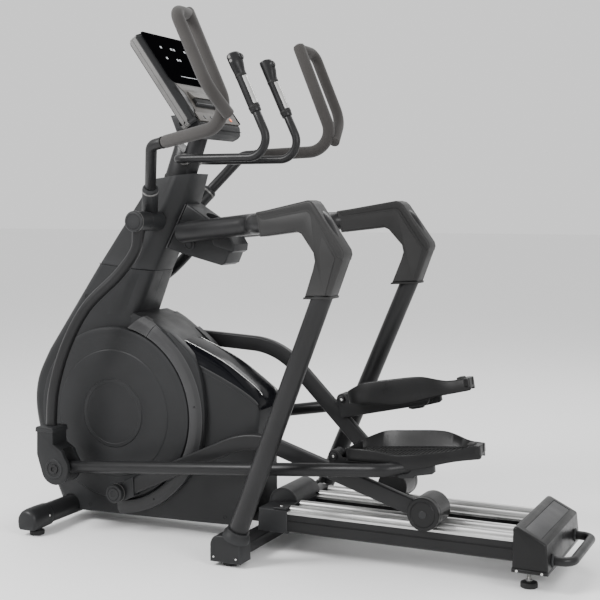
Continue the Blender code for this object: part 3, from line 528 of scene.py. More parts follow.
def thicken(thing, wall, offset=-1.0):
    solid = thing.modifiers.new("wall", "SOLIDIFY")
    solid.thickness = wall
    solid.offset = offset
    solid.use_even_offset = True
    return bake(thing)


def move(thing, matrix):
    thing.data.transform(matrix)
    if matrix.determinant() < 0.0:
        thing.data.flip_normals()
    return thing


def show(thing, finish, body=ROOT, stands_for=()):
    """Gives a piece its material and body, and hides the CAD nodes it stands for."""
    thing.data.materials.clear()
    thing.data.materials.append(FINISH[finish])
    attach(thing, body)
    if stands_for:
        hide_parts(*([stands_for] if isinstance(stands_for, str) else stands_for))
    return thing


def screw(name, place, direction, body=ROOT, radius=0.005, finish="steel"):
    """A round-headed screw with a hexagon socket."""
    height = radius * 0.7
    profile = [(0.0, -0.002), (radius, -0.002), (radius, height * 0.5), (radius * 0.75, height),
               (radius * 0.42, height), (radius * 0.40, height * 0.3), (0.0, height * 0.3)]
    show(lathe(name, profile, facing(place, direction), 24), finish, body)


# ---------------------------------------------------------------- base

def build_foot(name, x, y, top, radius, finish="rubber"):
    """A levelling foot: a scalloped disc, a lock nut and a threaded stem."""
    lobes = 10
    rings = []
    for height, shrink in ((0.0, 0.003), (0.002, 0.0), (0.013, 0.0), (0.016, 0.002), (0.0175, 0.008)):
        ring = []
        for k in range(lobes * 8):
            turn = 2.0 * pi * k / (lobes * 8)
            reach = radius - shrink - 0.0012 * (1.0 - abs(cos(turn * lobes / 2.0)) ** 0.7)
            ring.append((x + reach * cos(turn), y + reach * sin(turn), height))
        rings.append(ring)
    show(loft(name + "_disc", rings), finish, ROOT, name)
    nut = [(0.0, 0.0175), (0.0095, 0.0175), (0.0105, 0.0190), (0.0105, 0.0235), (0.0, 0.0235)]
    show(lathe(name + "_nut", nut, Matrix.Translation((x, y, 0.0)), 6), "steel")
    thread = [(0.0, 0.016)]
    pitch = 0.0015
    turns = int((top - 0.016) / pitch)
    for k in range(turns):
        thread += [(0.0058, 0.016 + k * pitch), (0.0050, 0.016 + (k + 0.5) * pitch)]
    thread.append((0.0, 0.016 + turns * pitch))
    show(lathe(name + "_stem", thread, Matrix.Translation((x, y, 0.0)), 20), "steel")


def build_front_base():
    x = (FRONT_BAR[0].x + FRONT_BAR[1].x) / 2.0
    z = 0.054
    tube_radius = 0.035
    show(tube("front_bar", [(x, -0.290, z), (x, 0.290, z)], tube_radius, 48), "satin", ROOT,
         "front_stabilizer")
    outline = arc((x, z), 0.0385, -8.0, 188.0, 20)
    outline += [(x - 0.036, 0.030), (x - 0.030, 0.0235), (x + 0.030, 0.0235), (x + 0.036, 0.030)]
    for label, side in SIDES:
        # The cap grows a little towards its rounded end
        rings = []
        for y, grow, drop in ((0.238, 0.965, 0.0), (0.240, 1.0, 0.0), (0.280, 1.03, 0.0005),
                              (0.315, 1.03, 0.001),
                              (0.333, 1.0, 0.002), (0.341, 0.93, 0.004), (0.345, 0.80, 0.007)):
            rings.append([(x + (px - x) * grow * 0.97, side * y, max(z + (pz - z) * grow - drop, 0.0215))
                          for px, pz in outline])
        show(loft("front_cap_" + label, rings, angle=40.0), "casing")
        build_foot("front_foot_" + label, x + 0.013, side * 0.300, 0.024, 0.025)
        screw("front_cap_screw_" + label, (x + 0.0375, side * 0.262, z + 0.004), (1.0, 0.0, 0.0),
              radius=0.004)


def build_mid_base():
    x = -0.053
    show(box("mid_bar", (x - 0.035, -0.300, 0.022), (x + 0.035, 0.300, 0.0575), 0.004, 3), "satin", ROOT,
         "mid_stabilizer")
    low, high = 0.0135, 0.098
    outline = [(-0.106, low), (-0.106, 0.070)] + smooth([(-0.105, 0.074), (-0.096, 0.090), (-0.076, high),
                                                          (-0.030, high), (-0.010, 0.092), (-0.001, 0.077)],
                                                          3)
    outline += [(0.000, low)]
    for label, side in SIDES:
        boot = prism("mid_boot_" + label, outline, pair(side, (0.285, 0.362)), 0.006, 4)
        show(boot, "casing")
        collar = [(0.0, -0.010), (0.044, -0.010), (0.042, 0.006), (0.0375, 0.012), (0.0355, 0.022),
                  (0.0, 0.022)]
        base = Vector((-0.0270, side * 0.3310, 0.096))
        lean = Vector((0.378, side * 0.052, 0.924))
        show(lathe("boot_collar_" + label, collar, facing(base, lean), 48), "casing")
        pad = [(0.0, 0.0), (0.022, 0.0), (0.024, 0.002), (0.024, 0.016), (0.0, 0.016)]
        show(lathe("mid_pad_" + label, pad, Matrix.Translation((x, side * 0.322, 0.0)), 40), "rubber")
        for across_x in (-0.092, -0.014):
            screw(f"boot_screw_{label}_{'front' if across_x < x else 'rear'}",
                  (across_x, side * 0.362, 0.030), (0.0, side, 0.0), radius=0.0035)


def build_rails():
    low, high = RAIL_LOW, RAIL_HIGH
    for label, side in SIDES:
        y0, y1 = low.y, high.y
        # The beam's outer face is rounded at its bottom and has a long shallow groove
        section = [(y0, low.z), (y1 - 0.014, low.z)] + arc((y1 - 0.014, low.z + 0.014), 0.014, -90.0, 0.0,
                                                           6)[1:]
        section += [(y1, 0.1150), (y1 - 0.0015, 0.1162), (y1 - 0.0015, 0.1190), (y1, 0.1202), (y1, high.z)]
        section += [(y0, high.z)]
        rings = [[(x, side * y, z) for y, z in section] for x in (low.x, high.x)]
        show(loft("rail_beam_skin_" + label, rings), "black", ROOT, "rail_beam_" + label)
        build_track(label, side)
    build_rail_front()


def build_track(label, side):
    """Two polished ridges on a plate with a folded outer lip."""
    base = TRACK_LOW.z
    outer = TRACK_HIGH.y
    inner = TRACK_LOW.y
    section = [(outer, base), (outer, base + 0.0072), (outer - 0.006, base + 0.0084)]
    for centre in (0.150, 0.076):
        ridge = arc((centre, base + 0.0095), 0.0125, -6.0, 186.0, 22)
        section += ridge
        if centre > 0.1:
            section += [(0.1270, base + 0.0060), (0.1130, base + 0.0052), (0.0995, base + 0.0060)]
    section += [(inner, base + 0.0072), (inner, base)]
    rings = [[(x, side * y, z) for y, z in section] for x in (TRACK_LOW.x, TRACK_HIGH.x)]
    show(loft("rail_track_skin_" + label, rings, angle=25.0), "aluminium", ROOT, "rail_track_" + label)


def build_rail_front():
    low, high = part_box("rail_front_block")
    rear = high.x
    outline = [(low.x, 0.075), (rear, 0.075), (rear, 0.150), (low.x + 0.004, 0.150)]
    block = prism("front_block_skin", outline, (low.y, high.y), 0.004, 3)
    carve(block, box("spine_slot", (low.x - 0.02, -0.0255, 0.05), (0.0305, 0.0255, 0.1085), 0.0005, 1))
    show(block, "casing", ROOT, "rail_front_block")
    # A flat lip overhangs the tracks' front end
    for label, side in SIDES:
        y0, y1 = sorted(pair(side, (0.060, 0.184)))
        show(box("track_clamp_" + label, (rear - 0.050, y0, 0.1505), (rear - 0.002, y1, 0.1585), 0.003, 3),
             "satin")
        screw("track_clamp_screw_" + label, (rear - 0.026, side * 0.168, 0.1585), (0.0, 0.0, 1.0),
              radius=0.005)
    # The arched hood between the tracks
    centre, radius, half = 0.018, 0.051, 0.0895
    arch = arc((centre, 0.148), radius, -4.0, 184.0, 28)
    inner = arc((centre, 0.148), radius - 0.0035, 184.0, -4.0, 28)
    hood = prism("front_hood", arch + inner, (-half, half), 0.0008, 1)
    show(hood, "grey")
    for label, side in SIDES:
        cheek = [(x, z) for x, z in arc((centre, 0.148), radius - 0.0032, -4.0, 184.0, 28)]
        show(prism("hood_cheek_" + label, cheek, pair(side, (half - 0.006, half - 0.002)), 0.001), "casing")


def build_rear_cover():
    low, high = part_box("rear_cover")
    half = high.y
    top_front = Vector((0.826, 0.0, 0.1905))
    top_rear = Vector((0.9055, 0.0, 0.1500))
    outline = [(low.x, 0.066), (low.x, 0.184), (0.8145, 0.1890), (0.8190, 0.1908), (0.826, 0.1905)]
    outline += [(0.9055, 0.1500), (0.9100, 0.1450), (0.9160, 0.0800), (0.9165, 0.066)]
    # The body narrows a little towards its top
    cover = prism("rear_cover_skin", outline, (-half + 0.004, half - 0.004), 0.007, 4)
    for vertex in cover.data.vertices:
        vertex.co.y *= 1.0 - 0.030 * (vertex.co.z - 0.066) / 0.125
    slope = (top_rear - top_front).normalized()
    out = Vector((-slope.z, 0.0, slope.x))
    turn = Matrix((slope, Vector((0.0, 1.0, 0.0)), out)).transposed().to_4x4()
    middle = Matrix.Translation((top_front + top_rear) / 2.0)
    pocket = box("pocket", (-0.0285, -half + 0.034, -0.0020), (0.0285, half - 0.034, 0.02), 0.0015)
    move(pocket, middle @ turn)
    carve(cover, pocket)
    show(cover, "black", ROOT, "rear_cover")
    panel = box("rear_cover_panel", (-0.0272, -half + 0.0355, -0.0050), (0.0272, half - 0.0355, -0.0004),
                0.0012)
    move(panel, middle @ turn)
    show(panel, "grey")
    flange = [(low.x - 0.0008, 0.0590), (low.x - 0.0008, 0.0700), (0.9130, 0.0700), (0.9175, 0.0665),
              (0.9175, 0.0590)]
    show(prism("rear_cover_flange", flange, (-half, half), 0.0030, 3), "black")
    for label, side in SIDES:
        for place, x in (("front", 0.826), ("rear", 0.900)):
            screw(f"rear_cover_screw_{place}_{label}", (x, side * (half - 0.0005), 0.0645), (0.0, side, 0.0),
                  radius=0.0042)
        build_foot("rear_foot_" + label, 0.847, side * 0.149, 0.059, 0.026)
    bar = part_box("rear_lift_handle")
    outer = bar[1].x - 0.014
    path = bent([(0.905, -0.150, 0.088, 0.0), (outer, -0.150, 0.088, 0.036), (outer, 0.150, 0.088, 0.036),
                 (0.905, 0.150, 0.088, 0.0)])
    show(tube("lift_handle_bar", path, 0.0138, 32), "tube", ROOT, "rear_lift_handle")
    for label, side in SIDES:
        ring = [(0.0148, -0.001), (0.0205, -0.001), (0.0205, 0.002), (0.0180, 0.0045), (0.0148, 0.0050)]
        place = Vector((0.9165, side * 0.150, 0.088))
        show(lathe("lift_handle_flange_" + label, ring, facing(place, (1.0, 0.0, 0.0)), 40), "casing")


# ---------------------------------------------------------------- body

BODY_FRONT = smooth(
    [(-0.866, 0.045), (-0.900, 0.120), (-0.952, 0.250), (-0.9845, 0.390), (-0.974, 0.500), (-0.921, 0.606)],
    5)
SEAM_FRONT = (-0.700, 0.915)
SEAM_REAR = (-0.4827, 0.893)
BODY_TOP = [(-0.545, 0.745), (-0.500, 0.715), (-0.440, 0.672), (-0.380, 0.628), (-0.300, 0.5925),
            (-0.2256, 0.5610), (-0.148, 0.5240), (-0.096, 0.4930), (-0.076, 0.4720), (-0.0700, 0.4450)]
BODY_LOW = [(-0.0880, 0.280), (-0.090, 0.110), (-0.140, 0.052), (-0.300, 0.047), (-0.855, 0.036)]


def rounded_loft(name, outline, half, roundness, slides, steps=6):
    """A body half: outline in XZ from the middle plane out to half, its rim rounded by an amount per point.

    slides gives the points that are drawn in along an edge of the outline, so that this edge stays straight.
    """
    count = len(outline)
    places = [Vector(p) for p in outline]
    inward = []
    for i in range(count):
        before = (places[i] - places[i - 1]).normalized()
        after = (places[(i + 1) % count] - places[i]).normalized()
        normal = (Vector((before.y, -before.x)) + Vector((after.y, -after.x))).normalized()
        stretch = 1.0 / max(0.5, normal.dot(Vector((before.y, -before.x))))
        inward.append(slides.get(i) or normal * stretch)
    rings = [[(p.x, 0.0004, p.y) for p in places]]
    for j in range(steps + 1):
        turn = pi / 2.0 * j / steps
        ring = []
        for p, normal, reach in zip(places, inward, roundness):
            sunk = p + normal * reach * (1.0 - cos(turn))
            ring.append((sunk.x, half - reach * (1.0 - sin(turn)), sunk.y))
        rings.append(ring)
    model = bmesh.new()
    rows = [[model.verts.new(place) for place in ring] for ring in rings]
    for first, second in zip(rows, rows[1:]):
        for i in range(count):
            k = (i + 1) % count
            model.faces.new((first[i], first[k], second[k], second[i]))
    model.faces.new(rows[-1])
    return from_model(name, model, 28.0)


def build_shells():
    outline = BODY_FRONT + [SEAM_FRONT, SEAM_REAR] + BODY_TOP + BODY_LOW
    front = len(BODY_FRONT)
    roundness = []
    for i, (x, z) in enumerate(outline):
        if i < front:
            roundness.append(0.034 if i > 1 else 0.012)
        elif (x, z) == SEAM_FRONT:
            roundness.append(0.030)
        elif (x, z) == SEAM_REAR:
            roundness.append(0.040)
        elif (x, z) == BODY_TOP[0]:
            roundness.append(0.030)
        elif (x, z) in BODY_TOP:
            roundness.append(0.010)
        else:
            roundness.append(0.012 if z > 0.12 else 0.004)
    seam = (Vector(SEAM_REAR) - Vector(SEAM_FRONT)).normalized()
    slides = {front: seam, front + 1: -seam}
    for label, side in SIDES:
        skin = rounded_loft(label + "_shell_skin", outline, SHELL_HALF, roundness, slides)
        if side < 0.0:
            move(skin, Matrix.Diagonal((1.0, -1.0, 1.0, 1.0)))
        thicken(skin, 0.003)
        x, z = (FRONT_BAR[0].x + FRONT_BAR[1].x) / 2.0, 0.054
        carve(skin, rod("bar_hole", (x, -side * 0.01, z), (x, side * 0.12, z), 0.0368),
              rod("axle_hole", (CRANK.x, -side * 0.01, CRANK.z), (CRANK.x, side * 0.12, CRANK.z), 0.030),
              box("spine_hole", (-0.20, -0.0265, 0.0565), (0.0, 0.0265, 0.1095), 0.0005, 1),
              box("mast_hole", (-0.68, -0.0265, 0.88), (-0.59, 0.0265, 0.93), 0.0005, 1))
        show(skin, "casing", ROOT, label + "_shell")
        face = side * (SHELL_HALF + 0.0002)
        # Each screw well is a shallow cup in near-black: painted shade in the hollow
        for name, (px, pz) in {"a": (-0.742, 0.062), "b": (-0.200, 0.075), "c": (-0.128, 0.345),
                               "d": (-0.745, 0.800), "e": (-0.560, 0.860)}.items():
            well = [(0.0, -0.0020), (0.0040, -0.0020), (0.0050, 0.0004), (0.0062, 0.0006), (0.0062, -0.0025),
                    (0.0, -0.0025)]
            show(lathe(f"shell_screw_well_{name}_{label}", well, facing((px, face, pz), (0.0, side, 0.0)),
                       24),
                 "dark")
        build_ridge(label, side)
        build_lower_column(label, side)
    build_front_lip()


def build_lower_column(label, side):
    """The foot of the mast's rounded column, swelling out of the shell between the arch and the seam."""
    section = [(0.000, -0.050), (0.004, -0.034), (0.012, -0.018), (0.026, -0.006), (0.044, 0.0015),
               (0.064, 0.0052),
               (0.082, 0.0056), (0.096, 0.0030), (0.108, 0.0008), (0.122, -0.0008), (0.122, -0.010)]
    top = Vector((SEAM_REAR[0] + 0.0005, SEAM_REAR[1] - 0.0004))
    low = Vector((-0.5510, 0.7400))
    rings = []
    for i in range(9):
        t = i / 8
        edge = top.lerp(low, t)
        swell = 1.0 - 0.75 * t ** 2
        ring = []
        for s, out in section:
            lift = 0.0 if i else s * (SEAM_FRONT[1] - SEAM_REAR[1]) / (SEAM_REAR[0] - SEAM_FRONT[0])
            ring.append((edge.x - s, side * (SHELL_HALF + (out * swell if out > 0.0 else out)),
                         edge.y + lift))
        rings.append(ring)
    show(loft("mast_column_foot_" + label, rings), "casing")


def build_front_lip():
    """A thin near-black strip between the two shells, down the front: painted shade in the seam."""
    path = BODY_FRONT[2:] + [(-0.812, 0.7585), (SEAM_FRONT[0] - 0.002, SEAM_FRONT[1] - 0.003)]
    strip = prism("front_seam_shade_strip", ribbon(path, 0.0012), (-0.0022, 0.0022), 0.0004, 1)
    for vertex in strip.data.vertices:
        vertex.co.x += 0.0012
    show(strip, "dark")


def build_ridge(label, side):
    """The raised double line under the glossy cover, from the arch to the body's rear edge."""
    for place, drop in (("upper", 0.0), ("lower", 0.015)):
        path = [(x, z - 0.003 - drop) for x, z in COVER_LOW[3:-3]]
        line = prism(f"shell_ridge_{place}_{label}", ribbon(path, 0.0022),
                     pair(side, (SHELL_HALF - 0.002, SHELL_HALF + 0.0016)), 0.0012, 2)
        show(line, "grey" if place == "upper" else "casing")


def build_arches():
    inner, outer = 0.3035, 0.3515
    for label, side in SIDES:
        near, far = ARCH_Y
        section = [(outer - 0.001, near), (outer, near + 0.003), (outer - 0.0015, far - 0.010),
                   (outer - 0.0060, far - 0.0085), (outer - 0.0140, far - 0.0030),
                   (outer - 0.0200, far - 0.0008),
                   (inner + 0.006, far), (inner + 0.0020, far - 0.0015), (inner, far - 0.006), (inner, near)]
        # Each stretch gives its start and end in degrees, at the outer radius and at the inner one
        for part, starts, ends in (("main", (-87.0, -87.0), (61.0, 62.4)),
                                   ("top", (61.4, 62.8), (69.8, 78.0))):
            steps = max(6, int((ends[0] - starts[0]) / 2.0))
            rings = []
            for i in range(steps + 1):
                t = i / steps
                turn_out = starts[0] + (ends[0] - starts[0]) * t
                turn_in = starts[1] + (ends[1] - starts[1]) * t
                # The arch grows a little wider towards its top end
                flare = 0.0120 * max(0.0, (turn_out - 48.0) / 22.0)
                ring = []
                for r, y in section:
                    part_in = (outer - r) / (outer - inner)
                    a = radians(turn_out + (turn_in - turn_out) * part_in)
                    reach = r + flare * (1.0 - part_in)
                    ring.append((CRANK.x + reach * cos(a), side * y, CRANK.z + reach * sin(a)))
                rings.append(ring)
            show(loft(f"wheel_arch_{part}_{label}", rings), "grey", ROOT,
                 "wheel_arch_" + label if part == "main" else ())
        build_shoulder(label, side)
        for k, turn in enumerate((-60.0, 8.0)):
            r = (inner + outer) / 2.0
            place = (CRANK.x + r * cos(radians(turn)), side * (far - 0.0005),
                     CRANK.z + r * sin(radians(turn)))
            screw(f"arch_screw_{k}_{label}", place, (0.0, side, 0.0), radius=0.003, finish="satin")


# How far the arch's shoulder reaches from the crank's centre: degrees above the horizontal, and metres
SHOULDER_REACH = ((-40.0, 0.3525), (-12.0, 0.3545), (4.0, 0.3570), (14.0, 0.3610), (22.0, 0.3680),
                  (29.5, 0.3745),
                  (37.0, 0.3740), (45.0, 0.3680), (53.0, 0.3640))


def build_shoulder(label, side):
    """The dark shoulder that carries the arch back to the shell."""
    near, far = ARCH_Y
    rings = []
    for turn, reach in smooth(SHOULDER_REACH, 4):
        a = radians(turn)
        start = 0.3485
        ring = []
        for t, y in ((0.0, far - 0.0095), (0.06, far - 0.0105), (0.20, near + 0.0215), (0.45, near + 0.0195),
                     (0.70, near + 0.0188), (0.90, near + 0.0180), (1.0, near + 0.0150),
                     (0.98, near - 0.0120),
                     (0.0, near - 0.0060)):
            r = start + (reach - start) * t
            ring.append((CRANK.x + r * cos(a), side * y, CRANK.z + r * sin(a)))
        rings.append(ring)
    show(loft("arch_shoulder_" + label, rings, angle=50.0), "casing")


def build_saddle():
    """The rounded bridge between the two arches, over the top of the body."""
    rings = []
    steps = 16
    for i in range(steps + 1):
        t = i / steps
        a = radians(44.0 + 33.0 * t)
        edge = 0.3515 + 0.0080 * max(0.0, t - 0.1)
        crown = 0.3630 - 0.0040 * max(0.0, t - 0.7) / 0.3
        half = []
        for y, rise in ((0.1130, 0.0), (0.1080, 0.30), (0.0980, 0.62), (0.0820, 0.86), (0.0600, 0.97),
                        (0.0300, 1.0)):
            half.append((y, edge + (crown - edge) * rise))
        section = [(-y, r) for y, r in half] + half[::-1] + [(0.1100, 0.318), (-0.1100, 0.318)]
        rings.append([(CRANK.x + r * cos(a), y, CRANK.z + r * sin(a)) for y, r in section])
    show(loft("body_saddle", rings, angle=50.0), "casing")


# The glossy cover's edges in XZ: its crease beside the flat top, and its lower edge on the body's side
COVER_CREASE = smooth([(-0.4150, 0.6760), (-0.3854, 0.6640), (-0.2995, 0.6290), (-0.2173, 0.5910),
                       (-0.1490, 0.5480),
                       (-0.0880, 0.5030), (-0.0670, 0.4660)], 3)
COVER_LOW = smooth([(-0.3300, 0.6000), (-0.2950, 0.5850), (-0.2256, 0.5558), (-0.1480, 0.5190),
                    (-0.0960, 0.4880),
                    (-0.0740, 0.4680), (-0.0665, 0.4480)], 3)


def build_top_cover():
    """The glossy cover: a narrow flat top, a crease, and sides that swell out to the body's width."""
    half = SHELL_HALF + 0.0009
    crease = 0.0520
    rings = []
    for (tx, tz), (lx, lz) in zip(COVER_CREASE, COVER_LOW):
        ring = []
        for t in (0.0, 0.15, 0.35, 0.55, 0.75, 0.90, 1.0):
            ring.append((lx + (tx - lx) * t, -half + (half - crease) * t ** 1.6, lz + (tz - lz) * t))
        # The top is slightly crowned
        ring += [(tx, -crease + 0.005, tz + 0.0012), (tx, -0.0240, tz + 0.0028), (tx, 0.0, tz + 0.0034)]
        ring += [(x, -y, z) for x, y, z in ring[-2::-1]]
        rings.append(ring)
    model = bmesh.new()
    rows = [[model.verts.new(place) for place in ring] for ring in rings]
    for first, second in zip(rows, rows[1:]):
        for i in range(len(first) - 1):
            model.faces.new((first[i], first[i + 1], second[i + 1], second[i]))
    model.faces.new(rows[-1])
    cover = from_model("top_cover_skin", model, 45.0)
    if cover.data.polygons[len(cover.data.polygons) // 2].normal.z < 0.0:
        cover.data.flip_normals()
    thicken(cover, 0.0025, 1.0)
    show(cover, "gloss", ROOT, "top_cover")
    # A thin steel strip along each crease stands in for the bright reflection line there: a painted highlight
    for label, side in SIDES:
        highlight_line = [(x, side * (crease + 0.0012), z + 0.0022) for x, z in COVER_CREASE[2:-2]]
        show(tube("top_cover_bead_" + label, highlight_line, 0.0016, 12, 0.0005), "steel")


def mast_half(z):
    """Half width of the mast cover at a height."""
    return 0.0868 - 0.0135 * min(max((z - 0.90) / 0.32, 0.0), 1.0)


def build_mast_cover():
    """A sleeve with broad chamfers on its rear edges and rounded front edges."""
    levels = 9
    rear_edge = smooth([(-0.4805, 0.8945), (-0.4282, 0.9990), (-0.3640, 1.1225), (-0.3315, 1.2225)], 3)
    rings = []
    for i in range(levels + 1):
        t = i / levels
        # Front and rear of the sleeve at this level
        if t < 0.82:
            k = t / 0.82
            front = Vector((-0.698 + k * 0.179, 0.9195 + k * 0.2485))
        else:
            k = (t - 0.82) / 0.18
            front = Vector((-0.519 + k * 0.032, 1.168 + k * 0.036))
        rear = Vector(rear_edge[i])
        across_line = rear - front
        depth = across_line.length
        half = mast_half(front.y)
        # A flat flank, a valley, and the rounded column that carries the swing axle
        points = [(0.0, half - 0.030), (0.004, half - 0.016), (0.012, half - 0.006), (0.028, half)]
        points += [(depth * part, half + out) for part, out in (
            (0.46, 0.0), (0.51, 0.0012), (0.56, 0.0042), (0.62, 0.0070), (0.70, 0.0074), (0.76, 0.0042),
            (0.83, -0.0035), (0.91, -0.0120), (0.975, -0.0210), (1.0, -0.0310))]
        full = points + [(s, -y) for s, y in points[::-1]]
        rings.append([(front.x + across_line.x * s / depth, y, front.y + across_line.y * s / depth) for s,
                      y in full])
    model = bmesh.new()
    rows = [[model.verts.new(place) for place in ring] for ring in rings]
    count = len(rows[0])
    for first, second in zip(rows, rows[1:]):
        for i in range(count):
            k = (i + 1) % count
            model.faces.new((first[i], first[k], second[k], second[i]))
    # A narrow roof, open in the middle for the post
    middle = sum((Vector(p) for p in rings[-1]), Vector()) / count
    inner = [model.verts.new(middle + (Vector(p) - middle) * 0.40 + Vector((0.0, 0.0,
        0.002))) for p in rings[-1]]
    for i in range(count):
        k = (i + 1) % count
        model.faces.new((rows[-1][i], rows[-1][k], inner[k], inner[i]))
    sleeve = from_model("mast_cover_skin", model, 22.0)
    thicken(sleeve, 0.003)
    carve(sleeve, rod("axle_hole", (SWING.x, -0.12, SWING.z), (SWING.x, 0.12, SWING.z), 0.0135),
          rod("post_hole", (-0.455, 0.0, 1.120), (-0.370, 0.0, 1.340), 0.0440))
    show(sleeve, "casing", ROOT, "mast_cover")
    path = [(-0.6925, 0.9166), (-0.5300, 0.8996)]
    band = prism("mast_seam", ribbon(path, 0.0009), (-0.0852, 0.0852), 0.0003, 1)
    show(band, "grey")


# ---------------------------------------------------------------- console

CONSOLE_TOP = Vector((-0.482, 0.0, 1.699))
CONSOLE_DOWN = Vector((0.225, 0.0, -0.312)).normalized()
CONSOLE_OUT = Vector((-CONSOLE_DOWN.z, 0.0, CONSOLE_DOWN.x))


def on_console(along, y, out):
    """A place on the console: down its face, to the side, and out of the face."""
    return CONSOLE_TOP + CONSOLE_DOWN * along + Vector((0.0, y, 0.0)) + CONSOLE_OUT * out


def face_outline(start, end, half_top, half_low, radius, steps=6):
    """A rectangle on the console's face.

    Its corners fold inwards, which breaks the outline: +cos and +sin would round them outwards.
    """
    points = []
    for along, half, sign_a, sign_y, first in ((start, half_top, 1.0, 1.0, 90.0),
                                               (start, half_top, 1.0, -1.0, 180.0),
                                              (end, half_low, -1.0, -1.0, 270.0),
                                              (end, half_low, -1.0, 1.0, 0.0)):
        centre = (along + sign_a * radius, sign_y * (half - radius))
        for k in range(steps + 1):
            turn = radians(first + 90.0 * k / steps)
            points.append((centre[0] - radius * sin(turn), centre[1] - radius * cos(turn)))
    return points


def console_plate(name, outline, low, high, edge=0.001):
    """A plate on the face between two depths, its upper rim chamfered."""
    middle_a = sum(a for a, _ in outline) / len(outline)
    middle_y = sum(y for _, y in outline) / len(outline)
    reach_a = max(a for a, _ in outline) - middle_a
    reach_y = max(y for _, y in outline) - middle_y
    rings = []
    for depth, shrink in ((low, 0.0), (high - edge, 0.0), (high - edge * 0.3, edge * 0.35), (high, edge)):
        rings.append([on_console(middle_a + (a - middle_a) * (1.0 - shrink / reach_a),
                                 middle_y + (y - middle_y) * (1.0 - shrink / reach_y), depth) for a,
                                 y in outline])
    return loft(name, rings)


def console_slab(name, levels, length, half_top, half_low, radius):
    """A stack of outlines. Each level is its depth, and how far its sides and its ends are drawn in."""
    rings = []
    for depth, sides, ends in levels:
        outline = face_outline(ends, length - ends, half_top - sides, half_low - sides, radius)
        rings.append([on_console(a, y, depth) for a, y in outline])
    return loft(name, rings, angle=24.0)


def build_console():
    half_top, half_low, length = 0.1735, 0.1735, 0.383
    glass_half = 0.1540
    body = [(-0.0570, 0.014, 0.020), (-0.0550, 0.005, 0.008), (-0.0510, 0.001, 0.003), (-0.0200, 0.0, 0.001),
            (-0.0185, 0.0008, 0.0015), (-0.0012, 0.0172, 0.0050), (0.0, 0.0185, 0.0062)]
    show(console_slab("console_body", body, length, half_top, half_low, 0.012), "casing", ROOT,
         "console_housing")
    band = [(-0.0505, 0.0, 0.002), (-0.0495, -0.0008, 0.0012), (-0.0235, -0.0008, 0.0012),
            (-0.0225, 0.0, 0.002)]
    show(console_slab("console_side_band", band, length, half_top, half_low, 0.012), "silver")
    groove = [(-0.0375, -0.0010, 0.0010), (-0.0363, -0.0010, 0.0010)]
    show(console_slab("console_band_groove", groove, length, half_top, half_low, 0.012), "casing")
    screen = [(0.0140, -glass_half + 0.014), (0.0140, glass_half - 0.014), (0.0180, glass_half - 0.0045),
              (0.0260, glass_half), (0.2030, glass_half), (0.2270, glass_half - 0.013),
              (0.2270, 0.013 - glass_half),
              (0.2030, -glass_half), (0.0260, -glass_half), (0.0180, 0.0045 - glass_half)]
    show(console_plate("display_glass", screen, -0.002, 0.0010, 0.0010), "screen", ROOT, "console_display")
    build_display_marks()
    panel = [(0.2285, -0.1400), (0.2285, 0.1400), (0.2620, 0.1180), (0.3000, 0.1170), (0.3700, 0.1300),
             (0.3700, -0.1300), (0.3000, -0.1170), (0.2620, -0.1180)]
    show(console_plate("control_panel", panel, -0.002, 0.0012), "beige")
    for label, side in SIDES:
        # A near-black line down each side stands for the seam: painted shade in the gap
        seam = [(0.2400, 0.1520), (0.2850, 0.1450), (0.3000, 0.1455), (0.3350, 0.1520), (0.3740, 0.1530),
                (0.3740, 0.1515), (0.3350, 0.1505), (0.3000, 0.1440), (0.2850, 0.1435), (0.2400, 0.1505)]
        line = [(a, side * y) for a, y in seam]
        show(loft("console_seam_shade_" + label, [[on_console(a, y, d) for a, y in line] for d in (-0.004,
            0.0006)]), "dark")
    build_ledge()
    build_chin()
    back = [(-0.0550, 0.085, 0.090), (-0.0640, 0.087, 0.092), (-0.0665, 0.091, 0.096)]
    show(console_slab("console_back_plate", back, length - 0.03, half_top, half_low, 0.015), "casing")
    for k, (a, y) in enumerate(((0.110, -0.076), (0.110, 0.076), (0.245, -0.076), (0.245, 0.076))):
        screw(f"console_back_screw_{k}", on_console(a, y, -0.0660), -CONSOLE_OUT, radius=0.004)
    # Thin near-black sheets on the back stand in for the speaker slits: painted shade where the openings
    # would be
    for k in range(9):
        start = 0.036 + 0.005 * k
        slit = face_outline(start, start + 0.0022, 0.050, 0.050, 0.0010, 2)
        show(loft(f"speaker_slit_shade_{k}", [[on_console(a, y, d) for a, y in slit] for d in (-0.0568,
            -0.0574)]), "dark")


def build_display_marks():
    """Plain lit bars where read-outs would be."""
    rows = (0.072, 0.118, 0.150)
    model = bmesh.new()
    spots = [(rows[0], -0.080, 0.005), (rows[0], -0.014, 0.005), (rows[0], 0.004, 0.005),
             (rows[0], 0.074, 0.005),
             (rows[1], -0.084, 0.005), (rows[1], -0.016, 0.005), (rows[1], 0.000, 0.005),
             (0.193, -0.010, 0.058)]
    for along, y, half in spots:
        thick = 0.0011 if half > 0.03 else 0.0042
        places = [on_console(along + a, y + b, 0.0017) for a, b in
                  ((-thick, -half), (thick, -half), (thick, half), (-thick, half))]
        lower = [place - CONSOLE_OUT * 0.0008 for place in places]
        top = [model.verts.new(place) for place in places]
        low = [model.verts.new(place) for place in lower]
        model.faces.new(top)
        model.faces.new(low[::-1])
        for i in range(4):
            k = (i + 1) % 4
            model.faces.new((top[i], low[i], low[k], top[k]))
    show(from_model("display_bars", model), "marks")


